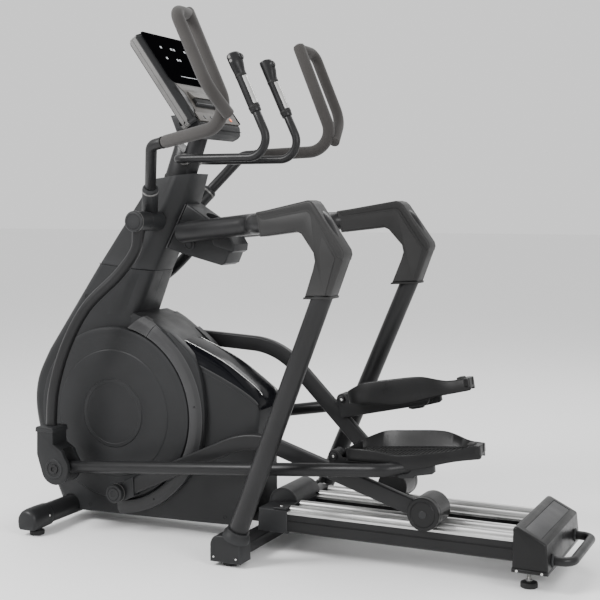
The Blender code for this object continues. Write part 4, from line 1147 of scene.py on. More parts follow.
def build_ledge():
    """The reading ledge: a light shelf with a near-black block under its lip, painted shade for the slot."""
    def slope_prism(name, profile, half, finish, bevel=0.0015):
        outline = [(on_console(a, 0.0, d).x, on_console(a, 0.0, d).z) for a, d in profile]
        show(prism(name, outline, (-half, half), bevel, 2), finish)

    slope_prism("ledge_back", [(0.2620, -0.001), (0.2620, 0.0060), (0.2900, 0.0150), (0.2930, 0.0150),
                               (0.2930, -0.001)], 0.100, "beige")
    slope_prism("ledge_slot_shade", [(0.2900, 0.0005), (0.2900, 0.0120), (0.3140, 0.0120), (0.3140, 0.0005)],
                0.0985, "dark")
    slope_prism("ledge_lip", [(0.3120, -0.001), (0.3120, 0.0118), (0.3155, 0.0124), (0.3200, 0.0095),
                              (0.3225, -0.001)], 0.100, "casing")


def build_chin():
    """The deeper lower module that stands out towards the user, with a lit start key."""
    outline = [(-0.2800, 1.4150), (-0.2590, 1.3860), (-0.2560, 1.3800), (-0.2545, 1.3530), (-0.2640, 1.3430),
               (-0.2820, 1.3345), (-0.3450, 1.3500), (-0.3700, 1.4100)]
    show(prism("console_chin", outline, (-0.142, 0.142), 0.009, 3), "casing")
    top = [on_console(along, 0.0, out) for along,
           out in ((0.3450, -0.004), (0.3450, 0.0022), (0.3810, 0.0022),
                                                        (0.3810, -0.004))]
    show(prism("chin_top_panel", [(place.x, place.z) for place in top], (-0.136, 0.136), 0.0010, 2), "beige")
    for k, y in enumerate((-0.088, -0.044, 0.0, 0.044, 0.088)):
        profile = [(0.0, -0.002), (0.0072, -0.002), (0.0072, 0.0010), (0.0062, 0.0018), (0.0, 0.0020)]
        key = lathe(f"console_key_{k}", profile, facing(on_console(0.3640, y, 0.0022), CONSOLE_OUT), 28)
        show(key, "key" if k == 4 else "grey")
    # A thin near-black band stands for the chin's seam: painted shade in the gap
    seam = [(-0.2536, 1.3655), (-0.2536, 1.3670), (-0.3400, 1.3630), (-0.3400, 1.3615)]
    show(prism("chin_seam_shade", seam, (-0.1424, 0.1424), 0.0003, 1), "dark")


def oval(place, along, depth, width, count=56):
    """A ring of points about a place, across a direction in the XZ plane."""
    front = Vector((along.z, 0.0, -along.x))
    turns = [2.0 * pi * k / count for k in range(count)]
    return [place + front * depth * cos(a) + Vector((0.0, width * sin(a), 0.0)) for a in turns]


def build_post():
    """A round post in an oval collar whose top is cut at a slant, higher at the front."""
    low, high = Vector((-0.400, 0.0, 1.185)), Vector((-0.3395, 0.0, 1.350))
    along = (high - low).normalized()
    show(loft("post_tube", [oval(low, along, 0.0310, 0.0300), oval(high, along, 0.0310, 0.0300)]), "satin",
         ROOT,
         "console_post")
    base = Vector((-0.4450, 0.0, 1.138))
    rings = []
    for reach, depth, width, slant in ((0.0, 0.0500, 0.0400, 0.0), (0.085, 0.0505, 0.0400, 0.0),
                                       (0.166, 0.0500, 0.0395, 0.0240), (0.170, 0.0485, 0.0380, 0.0240),
                                       (0.168, 0.0300, 0.0290, 0.0240)):
        ring = oval(base + along * reach, along, depth, width)
        middle = base + along * reach
        rings.append([place - along * slant * (place - middle).dot(Vector((along.z, 0.0, -along.x))) / 0.0500
                      for place in ring])
    show(loft("post_collar", rings), "satin")
    rings = [oval(base + along * reach, along, 0.0500 * grow, 0.0400 * grow)
             for reach, grow in ((0.060, 1.02), (0.064, 1.06), (0.072, 1.06), (0.076, 1.02))]
    show(loft("post_seal", rings), "rubber")


def build_pulse_bar():
    """The U-shaped bar with its two contact grips and their finger pods."""
    y, z, front = 0.115, 1.270, -0.372
    low = Vector((-0.066, 0.0, 1.417))
    lean = Vector((-0.086, 0.0, 0.184))
    up = lean.normalized()
    back = Vector((up.z, 0.0, -up.x))
    path = [(low.x, -y, low.z, 0.0), (0.0027, -y, z, 0.060), (front, -y, z, 0.040), (front, y, z, 0.040),
            (0.0027, y, z, 0.060), (low.x, y, low.z, 0.0)]
    show(tube("pulse_bar_tube", bent(path), 0.0138, 32), "tube", ROOT, "pulse_bar")
    for label, side in SIDES:
        boss = [(0.0, 0.0), (0.0195, 0.0), (0.0195, 0.010), (0.0165, 0.0125), (0.0, 0.0125)]
        show(lathe("pulse_boss_" + label, boss,
                   across(front, z, side) @ Matrix.Translation((0.0, 0.0, 0.036)), 40),
             "silver")
        start = Vector((low.x, side * y, low.z))
        sleeve = [start + up * t for t in (-0.004, 0.006, 0.060, 0.130, 0.203)]
        show(tube("pulse_sleeve_" + label, sleeve, [0.0178, 0.0182, 0.0182, 0.0182, 0.0178], 36, 0.0020),
             "tube",
             ROOT, "pulse_grip_" + label)
        build_contact_strip(label, start, up, back, side)
        build_pod(label, start, up, back, side)


def build_contact_strip(label, start, up, back, side):
    """A curved metal strip on the user's side of each grip, framed by short dark bands."""
    rings = []
    for along in (0.020, 0.022, 0.118, 0.120):
        reach = 0.0188 if 0.021 < along < 0.119 else 0.0174
        outer = []
        inner = []
        for k in range(13):
            turn = radians(-58.0 + 116.0 * k / 12)
            direction = back * cos(turn) + Vector((0.0, side * sin(turn), 0.0))
            outer.append(start + up * along + direction * reach)
            inner.append(start + up * along + direction * (reach - 0.0022))
        rings.append(outer + inner[::-1])
    show(loft("pulse_contact_" + label, rings), "steel")
    for name, along in (("low", 0.010), ("high", 0.1215)):
        ring = [(0.0150, 0.0), (0.0188, 0.0), (0.0192, 0.0015), (0.0192, 0.0060), (0.0188, 0.0075),
                (0.0150, 0.0075)]
        show(lathe(f"pulse_band_{name}_{label}", ring, facing(start + up * along, up), 40), "rubber")


def build_pod(label, start, up, back, side):
    """The pod on top of each grip: it swells outwards, and a smaller swelling carries the resistance key."""
    out = Vector((0.0, side, 0.0))
    rings = []
    for along, swell, seat in ((0.1290, 0.0, 0.0), (0.1380, 0.0020, 0.0010), (0.1500, 0.0075, 0.0040),
                               (0.1600, 0.0115, 0.0070), (0.1680, 0.0125, 0.0085), (0.1900, 0.0125, 0.0085),
                               (0.1980, 0.0100, 0.0065), (0.2020, 0.0070, 0.0040)):
        ring = []
        for k in range(36):
            turn = 2.0 * pi * k / 36
            direction = back * cos(turn) + out * sin(turn)
            more = out * swell * max(0.0, sin(turn)) + back * seat * max(0.0, cos(turn))
            shrink = 0.0035 if along > 0.2 else 0.0
            # The top is cut at a slant, higher at the front
            tip = up * 0.010 * max(0.0, -cos(turn)) if along > 0.19 else Vector((0.0, 0.0, 0.0))
            ring.append(start + up * along + direction * (0.0183 - shrink) + more - tip * 0.3)
        rings.append(ring)
    show(loft("pulse_pod_" + label, rings, angle=40.0), "satin")
    seat = start + up * 0.180
    profile = [(0.0, 0.0), (0.0088, 0.0), (0.0088, 0.0125), (0.0078, 0.0140), (0.0, 0.0145)]
    key = lathe("pod_key_" + label, profile, facing(seat + back * 0.0175, back), 32)
    show(key, "rubber", label + "_button", "grip_button_" + label)
    ring = [(0.0092, 0.0), (0.0118, 0.0), (0.0118, 0.0115), (0.0108, 0.0128), (0.0092, 0.0122)]
    show(lathe("pod_key_ring_" + label, ring, facing(seat + back * 0.0165, back), 36), "casing")
    plate = [(0.0, 0.0), (0.0105, 0.0), (0.0105, 0.0010), (0.0095, 0.0016), (0.0, 0.0018)]
    for k, height in enumerate((0.1745, 0.1880)):
        place = facing(start + up * height + out * 0.0298, out)
        small = [(radius * 0.5, depth) for radius, depth in plate]
        show(lathe(f"pod_mark_{k}_{label}", small, place, 24), "silver")


# ---------------------------------------------------------------- bottle holder and handrails

def build_bottle_holder():
    half = 0.0545
    body = [(-0.3600, 1.1225), (-0.4244, 0.9990), (-0.4385, 0.9712), (-0.3850, 0.9550), (-0.2600, 0.9240),
            (-0.2307, 0.9170), (-0.2150, 0.9240), (-0.1990, 0.9600), (-0.2150, 1.0250), (-0.2404, 1.0540),
            (-0.2740, 1.0693)]
    holder = prism("bottle_holder_body", body, (-half, half), 0.007, 3)
    down = Vector((-0.36, 0.0, -0.94)).normalized()
    mouth = Vector((-0.245, 0.0, 1.145))
    # A tapered round cup leans back with the mast
    cup = lathe("cup_cutter", [(0.0, -0.02), (0.0400, -0.02), (0.0385, 0.185), (0.0, 0.185)],
                facing(mouth, down), 64)
    carve(holder, cup)
    show(holder, "casing", ROOT, "bottle_holder")
    # The nose: an upper tier that wraps the cup and a lower one set back
    upper_path = [(-0.3000, 1.0830), (-0.2404, 1.0560), (-0.2030, 1.0230), (-0.1800, 0.9870),
                  (-0.1830, 0.9650),
                  (-0.1930, 0.9590), (-0.2600, 0.9800)]
    tier = prism("bottle_holder_nose", upper_path, (-0.0570, 0.0570), 0.012, 4)
    carve(tier, lathe("nose_cutter", [(0.0, -0.02), (0.0402, -0.02), (0.0387, 0.185), (0.0, 0.185)],
                      facing(mouth, down), 64))
    show(tier, "casing")
    floor = [(0.0, 0.0), (0.0375, 0.0), (0.0375, 0.003), (0.0, 0.003)]
    show(lathe("cup_floor", floor, facing(mouth + down * 0.176, -down), 48), "rubber")
    for label, side in SIDES:
        frame_line = [(-0.3625, 1.1195), (-0.4258, 0.9980), (-0.4390, 0.9725)]
        show(prism("holder_edge_" + label, ribbon(frame_line, 0.0016), pair(side, (0.0530, 0.0580)), 0.0008,
                   1),
             "grey")
        boss = [(0.0, 0.0), (0.0200, 0.0), (0.0200, 0.0035), (0.0180, 0.0050), (0.0150, 0.0050),
                (0.0135, 0.0035),
                (0.0110, 0.0035), (0.0100, 0.0048), (0.0, 0.0048)]
        place = across(-0.3480, 0.9860, side) @ Matrix.Translation((0.0, 0.0, half - 0.0005))
        show(lathe("holder_boss_" + label, boss, place, 40), "casing")


def handrail_path(side):
    points = [(-0.365, 0.0870, 1.025, 0.0), (-0.050, 0.145, 1.058, 0.100), (0.028, 0.300, 1.060, 0.100)]
    points += [(0.270, 0.370, 1.088, 0.060), (0.330, 0.380, 0.970, 0.060), (-0.0265, 0.3311, 0.0985, 0.0)]
    return bent(sided(points, side))


def sheared(thing, side):
    """Follows the handrail outwards, as the CAD's padded corner does."""
    for vertex in thing.data.vertices:
        ahead = min(vertex.co.x - 0.285, 0.0)
        vertex.co.y += side * (0.376 + ahead * 0.289)
    return thing


def build_handrails():
    pad = [(0.046, 1.0965), (0.246, 1.1280), (0.262, 1.1235), (0.270, 1.1150), (0.3600, 0.9880),
           (0.3630, 0.9760),
           (0.3600, 0.9620), (0.3200, 0.8550), (0.2320, 0.8500), (0.2620, 0.9300), (0.2690, 0.9560),
           (0.2640, 0.9800), (0.2200, 1.0330), (0.2050, 1.0400), (0.0620, 1.0225)]
    top = [(0.050, 1.0935), (0.060, 1.0975), (0.244, 1.1320), (0.259, 1.1285), (0.270, 1.1185),
           (0.3610, 0.9900),
           (0.3640, 0.9755), (0.3595, 0.9600), (0.3430, 0.9690), (0.2560, 1.0990), (0.2440, 1.1040),
           (0.080, 1.0790), (0.066, 1.0800)]
    panel = [(0.0600, 1.0820), (0.0700, 1.0760), (0.0840, 1.0740), (0.2410, 1.0985), (0.2510, 1.0945),
             (0.3370, 0.9660), (0.3060, 0.8590), (0.2420, 0.8560), (0.2690, 0.9280), (0.2765, 0.9570),
             (0.2700, 0.9850), (0.2240, 1.0400), (0.2070, 1.0470), (0.0720, 1.0310)]
    for label, side in SIDES:
        path = handrail_path(side)
        # The tube is a little stouter where it springs from the mast
        radii = [0.0305 + (0.0040 * min(1.0, max(0.0, (0.07 - x) / 0.10)) if z > 1.0 else 0.0) for x, _,
                 z in path]
        show(tube("handrail_tube_" + label, path, radii, 44, 0.010), "tube", ROOT, "handrail_" + label)
        body = sheared(prism("armrest_body_" + label, pad, (-0.0355, 0.0355), 0.009, 4), side)
        show(body, "pad", ROOT, "armrest_" + label)
        cap = sheared(prism("armrest_top_" + label, top, (-0.0378, 0.0378), 0.0075, 4), side)
        show(cap, "pad")
        cheek = sheared(prism("armrest_cheek_" + label, panel, (-0.0368, 0.0368), 0.0012, 2), side)
        show(cheek, "pad")
        lip = [(0.2300, 0.8500), (0.2280, 0.8440), (0.3200, 0.8480), (0.3220, 0.8550)]
        show(sheared(prism("armrest_lip_" + label, lip, (-0.0362, 0.0362), 0.0028, 3), side), "rubber")


# ---------------------------------------------------------------- crank discs and inner frame

def build_discs():
    """Each disc has a raised hub, a stepped web and a chamfered rim."""
    rim = DISC_RADIUS - 0.0005
    back, face = 0.0920, 0.1200
    profile = [(0.0, back), (rim - 0.005, back), (rim, back + 0.003), (rim, face - 0.0085),
               (rim - 0.0025, face - 0.0052),
               (rim - 0.0090, face - 0.0036), (rim - 0.0260, face - 0.0034), (0.2212, face - 0.0034),
               (0.2180, face - 0.0012), (0.2160, face - 0.0010), (0.1240, face - 0.0010),
               (0.1205, face - 0.0024),
               (0.1192, face - 0.0024), (0.1165, face + 0.0002), (0.1080, face + 0.0012),
               (0.1060, face + 0.0012),
               (0.1050, face + 0.0004), (0.0, face + 0.0004)]
    for label, side in SIDES:
        disc = lathe("crank_disc_skin_" + label, profile, across(CRANK.x, CRANK.z, side), 144)
        show(disc, "disc", "crankset", "crank_disc_" + label)


def finish_inner_parts():
    """The CAD parts that stay as they are get their finish here."""
    finishes = {"spine_frame": "satin", "mast_frame": "satin", "swing_axle": "steel", "crank_axle": "steel",
                "crank_bracket": "satin", "flywheel_bracket": "satin", "drive_pulley": "steel",
                "flywheel": "steel", "drive_belt": "rubber"}
    finishes.update({"crank_arm_" + label: "satin" for label, _ in SIDES})
    for node, finish in finishes.items():
        thing = frame["nodes"][node]
        thing.data.materials.clear()
        thing.data.materials.append(FINISH[finish])


# ---------------------------------------------------------------- linkage

def linkage_pose(side):
    """Crank pin, roller arm's turn, pedal pivot, swing arm's angle and pedal arm's turn, all in XZ."""
    lean = Vector((sin(CRANK_LEAN), -cos(CRANK_LEAN)))
    pin = Vector((CRANK.x, CRANK.z)) - lean * side * CRANK_RADIUS
    wheel = joint_place(("right" if side > 0.0 else "left") + "_wheel_roll")
    pivot_3d = joint_place(("right" if side > 0.0 else "left") + "_pedal_pivot")
    arm_angle = atan2(wheel.z - pin.y, wheel.x - pin.x)
    pivot = Vector((pivot_3d.x, pivot_3d.z))
    to_pivot = pivot - Vector((SWING.x, SWING.z))
    distance = to_pivot.length
    squares = SWING_LENGTH ** 2 + distance ** 2 - PEDAL_ARM_LENGTH ** 2
    opening = acos(squares / (2.0 * SWING_LENGTH * distance))
    swing_angle = atan2(to_pivot.y, to_pivot.x) - opening
    eye = Vector((SWING.x + SWING_LENGTH * cos(swing_angle), SWING.z + SWING_LENGTH * sin(swing_angle)))
    line = pivot - eye
    tube_angle = atan2(line.y, line.x) - asin(PEDAL_TUBE_DROP / PEDAL_ARM_LENGTH)
    return pin, arm_angle, pivot, swing_angle, tube_angle, (wheel - Vector((pin.x, 0.0, pin.y)))


def turned_frame(x, z, turn):
    """A frame at a place in XZ, its local X turned up by an angle."""
    return Matrix.Translation((x, 0.0, z)) @ Matrix.Rotation(-turn, 4, "Y")


def local_prism(name, outline, y_range, matrix, bevel=0.0015, segments=2, angle=32.0):
    return move(prism(name, outline, y_range, bevel, segments, angle), matrix)


def local_tube(name, path, radius, matrix, sides=32, edge=0.0015):
    return move(tube(name, path, radius, sides, edge), matrix)


def local_lathe(name, profile, x, z, side, matrix, steps=48):
    return move(lathe(name, profile, across(x, z, side), steps), matrix)


def mirrored(points, side):
    return [(x, side * y, z) for x, y, z in points]


# The swing arm's socket and its handle, drawn about the swing axle with the fork eye at (-0.293, -0.835)
SOCKET_LOW = (-0.0167, 0.1135, 0.0040)
SOCKET_HIGH = (0.0359, 0.1897, 0.1120)
HANDLE_START = (0.0362, 0.1901, 0.1125)
HANDLE_LOW_BEND = (0.099, 0.282, 0.2414)
HANDLE_HIGH_BEND = (0.434, 0.360, 0.298)
HANDLE_TOP = (0.254, 0.322, 0.652)


def build_swing(label, side, matrix):
    body = label + "_swing"
    hub = [(0.0132, 0.0890), (0.0312, 0.0890), (0.0330, 0.0908), (0.0330, 0.1640), (0.0318, 0.1650),
           (0.0318, 0.1668),
           (0.0330, 0.1678), (0.0330, 0.2298), (0.0312, 0.2316), (0.0132, 0.2316)]
    show(local_lathe("swing_hub_" + label, hub, 0.0, 0.0, side, matrix), "casing", body, "swing_arm_" + label)
    cap = [(0.0, 0.2322), (0.0330, 0.2322), (0.0345, 0.2332), (0.0345, 0.2362), (0.0315, 0.2392),
           (0.0262, 0.2400),
           (0.0250, 0.2390), (0.0240, 0.2400), (0.0, 0.2408)]
    show(local_lathe("swing_cap_" + label, cap, 0.0, 0.0, side, matrix), "casing", body)
    rim = [(0.0330, 0.2290), (0.0342, 0.2292), (0.0349, 0.2300), (0.0349, 0.2320), (0.0330, 0.2320)]
    show(local_lathe("swing_cap_rim_" + label, rim, 0.0, 0.0, side, matrix), "silver", body)
    # The socket leans outwards, so that the handle clears the mast
    low, high = (Vector((x, side * y, z)) for x, y, z in (SOCKET_LOW, SOCKET_HIGH))
    direction = (high - low).normalized()
    socket = [low.lerp(high, t) for t in (0.0, 0.15, 0.50, 0.87)]
    show(local_tube("swing_socket_" + label, socket, [0.0262, 0.0266, 0.0266, 0.0264], matrix, 40, 0.003),
         "casing", body)
    ring = [(0.0190, 0.0), (0.0262, 0.0), (0.0272, 0.0012), (0.0272, 0.0058), (0.0262, 0.0070),
            (0.0190, 0.0070)]
    show(move(lathe("swing_socket_ring_" + label, ring, facing(high - direction * 0.0200, direction), 44),
              matrix),
         "silver", body)
    dome = [(0.0190, 0.0), (0.0262, 0.0), (0.0266, 0.0020), (0.0258, 0.0075), (0.0230, 0.0118),
            (0.0190, 0.0128)]
    show(move(lathe("swing_socket_dome_" + label, dome, facing(high - direction * 0.0130, direction), 44),
              matrix),
         "casing", body)
    out = direction.cross(Vector((side, 0.0, 0.0))).normalized()
    out = out if out.y * side > 0.0 else -out
    for k, t in enumerate((0.35, 0.62)):
        place = matrix @ (low.lerp(high, t) + out * 0.0260)
        screw(f"swing_socket_bolt_{k}_{label}", place, matrix.to_3x3() @ out, body, 0.0036, "satin")
    path = [(0.0, SWING_Y, 0.006), (-0.006, SWING_Y, -0.040), (-0.020, SWING_Y, -0.100),
            (-0.085, 0.206, -0.180),
            (-0.200, 0.224, -0.290), (-0.275, 0.242, -0.430), (-0.320, PEDAL_TUBE_Y, -0.580),
            (-0.331, PEDAL_TUBE_Y, -0.712)]
    line = smooth(mirrored(path, side), 7)
    radii = [0.0185 + 0.0062 * max(0.0, 1.0 - i / 11.0) for i in range(len(line))]
    show(local_tube("swing_tube_" + label, line, radii, matrix, 36), "tube", body)
    build_fork(label, side, matrix, body)


def build_fork(label, side, matrix, body):
    """The cast fork at the foot of the swing arm, its cheeks either side of the pedal arm's eye."""
    eye = (-0.293, -0.835)
    outline = arc(eye, 0.0555, -152.0, 42.0, 26)
    outline += [(-0.2640, -0.7720), (-0.2975, -0.7520), (-0.2990, -0.7060), (-0.3630, -0.7060),
                (-0.3650, -0.7900)]
    fork = prism("swing_fork_" + label, outline, pair(side, (0.2085, 0.2915)), 0.0050, 3)
    slot = prism("slot_" + label, [(-0.45, -0.95), (-0.15, -0.95), (-0.15, -0.7680), (-0.45, -0.7680)],
                 pair(side, (0.2258, 0.2742)), 0.0002, 1)
    carve(fork, slot)
    show(move(fork, matrix), "casing", body)
    collar = [(-0.3680, -0.7130), (-0.2940, -0.7130), (-0.2955, -0.6985), (-0.3000, -0.6950),
              (-0.3620, -0.6950),
              (-0.3665, -0.6985)]
    show(local_prism("fork_collar_" + label, collar, pair(side, (0.2070, 0.2930)), matrix, 0.0035, 2),
         "casing", body)
    ring = [(0.0175, 0.2910), (0.0340, 0.2910), (0.0340, 0.2930), (0.0325, 0.2945), (0.0260, 0.2945),
            (0.0245, 0.2925),
            (0.0175, 0.2925)]
    show(local_lathe("fork_cap_ring_" + label, ring, *eye, side, matrix), "casing", body)
    bolt = [(0.0, 0.2910), (0.0165, 0.2910), (0.0165, 0.2955), (0.0150, 0.2972), (0.0085, 0.2978),
            (0.0075, 0.2945),
            (0.0, 0.2945)]
    show(local_lathe("fork_bolt_" + label, bolt, *eye, side, matrix), "satin", body)
    inner = [(0.0, 0.0), (0.0200, 0.0), (0.0200, 0.0030), (0.0180, 0.0045), (0.0, 0.0050)]
    face = across(*eye, side) @ Matrix.Translation((0.0, 0.0, 0.2090)) @ Matrix.Rotation(pi, 4, "X")
    show(move(lathe("fork_inner_cap_" + label, inner, face, 40), matrix), "satin", body)


def build_handle(label, side, matrix):
    """The moving handle: a painted tube, then a foam grip that loops back outside itself."""
    body = label + "_swing"
    start = (*HANDLE_START, 0.0)
    low_bend = (*HANDLE_LOW_BEND, 0.040)
    high_bend = (*HANDLE_HIGH_BEND, 0.075)
    top = (*HANDLE_TOP, 0.0)
    split = 0.15
    middle = tuple(a + (b - a) * split for a, b in zip(low_bend[:3], high_bend[:3]))
    metal = bent(sided([start, low_bend, (*middle, 0.0)], side), radians(5.0))
    show(local_tube("handle_tube_" + label, metal, 0.0183, matrix, 36), "tube", body, "swing_handle_" + label)
    along = (Vector(high_bend[:3]) - Vector(low_bend[:3])).normalized()
    seam = Vector(middle) - along * 0.003
    seam.y *= side
    along.y *= side
    cuff = [(0.0178, -0.001), (0.0190, -0.001), (0.0198, 0.000), (0.0198, 0.003), (0.0190, 0.005),
            (0.0178, 0.005)]
    show(move(lathe("handle_cuff_" + label, cuff, facing(seam, along), 40), matrix), "rubber", body)
    grip = bent(sided([(*middle, 0.0), high_bend, top], side), radians(5.0))
    count = len(grip)
    radii = [0.0207 + 0.0003 * i / count for i in range(count)]
    show(local_tube("handle_foam_skin_" + label, grip, radii, matrix, 36, 0.013), "foam", body,
         "handle_foam_" + label)
    up = (Vector(top[:3]) - Vector(high_bend[:3])).normalized()
    inner_top = Vector(top[:3]) - up * 0.020
    outer_top = inner_top + Vector((0.012, 0.100, -0.004))
    outer_low = Vector(high_bend[:3]) + up * 0.120 + Vector((0.014, 0.098, 0.0))
    inner_low = Vector(high_bend[:3]) + up * 0.030 + Vector((-0.002, 0.0, 0.0))
    points = [(*inner_top, 0.0), (*outer_top, 0.040), (*outer_low, 0.090), (*inner_low, 0.0)]
    loop = bent(sided(points, side), radians(5.0))
    show(local_tube("handle_loop_" + label, loop, 0.0190, matrix, 36), "foam", body)


def build_roller_arm(label, side, matrix, arm_angle, wheel):
    body = label + "_roller_arm"
    end = wheel.xz.length
    path = bent([(0.0, 0.0, 0.0, 0.0), (0.522, 0.0, 0.209, 0.260), (end - 0.020, 0.0, 0.0, 0.0)],
                radians(3.0))
    outline = ribbon([(x, z) for x, _, z in path], 0.0258)
    show(local_prism("roller_bar_" + label, outline, pair(side, (0.1452, 0.1748)), matrix, 0.0065, 4),
         "tube", body,
         "roller_arm_" + label)
    housing = [(0.0, 0.1238), (0.0290, 0.1238), (0.0308, 0.1256), (0.0308, 0.1380), (0.0290, 0.1400),
               (0.0290, 0.1810),
               (0.0312, 0.1830), (0.0312, 0.2010), (0.0295, 0.2035), (0.0235, 0.2040), (0.0225, 0.2025),
               (0.0205, 0.2025), (0.0195, 0.2042), (0.0110, 0.2046), (0.0100, 0.2030), (0.0, 0.2030)]
    show(local_lathe("pin_housing_" + label, housing, 0.0, 0.0, side, matrix), "casing", body)
    ring = [(0.0290, 0.1812), (0.0318, 0.1812), (0.0322, 0.1820), (0.0322, 0.1842), (0.0318, 0.1850),
            (0.0290, 0.1850)]
    show(local_lathe("pin_ring_" + label, ring, 0.0, 0.0, side, matrix), "silver", body)
    collar = [(0.022, -0.0285), (0.066, -0.0090), (0.066, 0.0560), (0.022, 0.0390)]
    show(local_prism("pin_collar_" + label, collar, pair(side, (0.1405, 0.1795)), matrix, 0.004, 2),
         "casing", body)
    build_roller_cover(label, side, matrix, arm_angle, end)
    build_pivot_boss(label, side, matrix, body)


def build_roller_cover(label, side, matrix, arm_angle, end):
    """A drum over the roller, open underneath so that the roller meets its track."""
    body = label + "_roller_arm"
    profile = [(0.0, 0.0955), (0.0490, 0.0955), (0.0508, 0.0973), (0.0508, 0.1860), (0.0495, 0.1872),
               (0.0495, 0.1888),
               (0.0508, 0.1900), (0.0508, 0.2060), (0.0485, 0.2092), (0.0400, 0.2100), (0.0390, 0.2088),
               (0.0375, 0.2088), (0.0365, 0.2098), (0.0, 0.2100)]
    cover = lathe("roller_cover_" + label, profile, across(end, 0.0, side), 72)
    hollow = lathe("hollow", [(0.0, 0.0988), (0.0468, 0.0988), (0.0468, 0.2045), (0.0, 0.2045)],
                   across(end, 0.0, side), 72)
    y0, y1 = sorted(pair(side, (0.085, 0.1862)))
    mouth = box("mouth", (-0.08, y0, -0.110), (0.08, y1, -0.0292), 0.0002, 1)
    move(mouth, Matrix.Translation((end, 0.0, 0.0)) @ Matrix.Rotation(arm_angle, 4, "Y"))
    carve(cover, hollow, mouth)
    show(move(cover, matrix), "black", body)
    level = Matrix.Translation((end, 0.0, 0.0)) @ Matrix.Rotation(arm_angle, 4, "Y")
    lip = []
    for sign in (-1.0, 1.0):
        x = sign * (0.0508 ** 2 - 0.0292 ** 2) ** 0.5
        y0, y1 = sorted(pair(side, (0.0960, 0.1855)))
        lip.append(move(box(f"roller_lip_{'front' if sign < 0 else 'rear'}_{label}",
                            (x - 0.0022, y0, -0.0292),
                            (x + 0.0022, y1, -0.0245), 0.0012), matrix @ level))
    for piece in lip:
        show(piece, "casing", body)
    shaft = [(0.0, 0.0960), (0.0060, 0.0960), (0.0060, 0.2060), (0.0, 0.2060)]
    show(local_lathe("roller_shaft_" + label, shaft, end, 0.0, side, matrix, 24), "steel", body)
    plug = [(0.0, 0.2095), (0.0120, 0.2095), (0.0120, 0.2115), (0.0105, 0.2125), (0.0, 0.2128)]
    show(local_lathe("roller_plug_" + label, plug, end, 0.0, side, matrix), "casing", body)
    wheel_body = label + "_wheel"
    tyre = [(0.0215, 0.1055), (0.0315, 0.1055), (0.0336, 0.1075), (0.0336, 0.1275), (0.0322, 0.1290),
            (0.0322, 0.1480),
            (0.0336, 0.1495), (0.0336, 0.1695), (0.0315, 0.1715), (0.0215, 0.1715)]
    show(local_lathe("roller_tyre_" + label, tyre, end, 0.0, side, matrix, 64), "rubber", wheel_body,
         "roller_wheel_" + label)
    hub = [(0.0070, 0.1058), (0.0120, 0.1058), (0.0120, 0.1075), (0.0180, 0.1090), (0.0212, 0.1062),
           (0.0212, 0.1708),
           (0.0180, 0.1680), (0.0120, 0.1695), (0.0120, 0.1712), (0.0070, 0.1712)]
    show(local_lathe("roller_hub_" + label, hub, end, 0.0, side, matrix), "grey", wheel_body)


def build_pivot_boss(label, side, matrix, body):
    """The raised eye on the roller arm that carries the pedal arm."""
    eye = (0.8137, 0.1611)
    saddle = [(eye[0] - 0.0300, eye[1] - 0.0480), (eye[0] - 0.0130, eye[1] - 0.0060),
              (eye[0] - 0.0100, eye[1]),
              (eye[0] + 0.0090, eye[1]), (eye[0] + 0.0105, eye[1] - 0.0100),
              (eye[0] + 0.0140, eye[1] - 0.0540)]
    show(local_prism("pivot_saddle_" + label, saddle, pair(side, (0.1475, 0.1725)), matrix, 0.003, 2),
         "tube", body)
    boss = [(0.0068, 0.1412), (0.0185, 0.1412), (0.0198, 0.1425), (0.0198, 0.1500), (0.0188, 0.1510),
            (0.0188, 0.1690), (0.0198, 0.1700), (0.0198, 0.1775), (0.0185, 0.1788), (0.0068, 0.1788)]
    show(local_lathe("pivot_boss_" + label, boss, *eye, side, matrix), "casing", body)


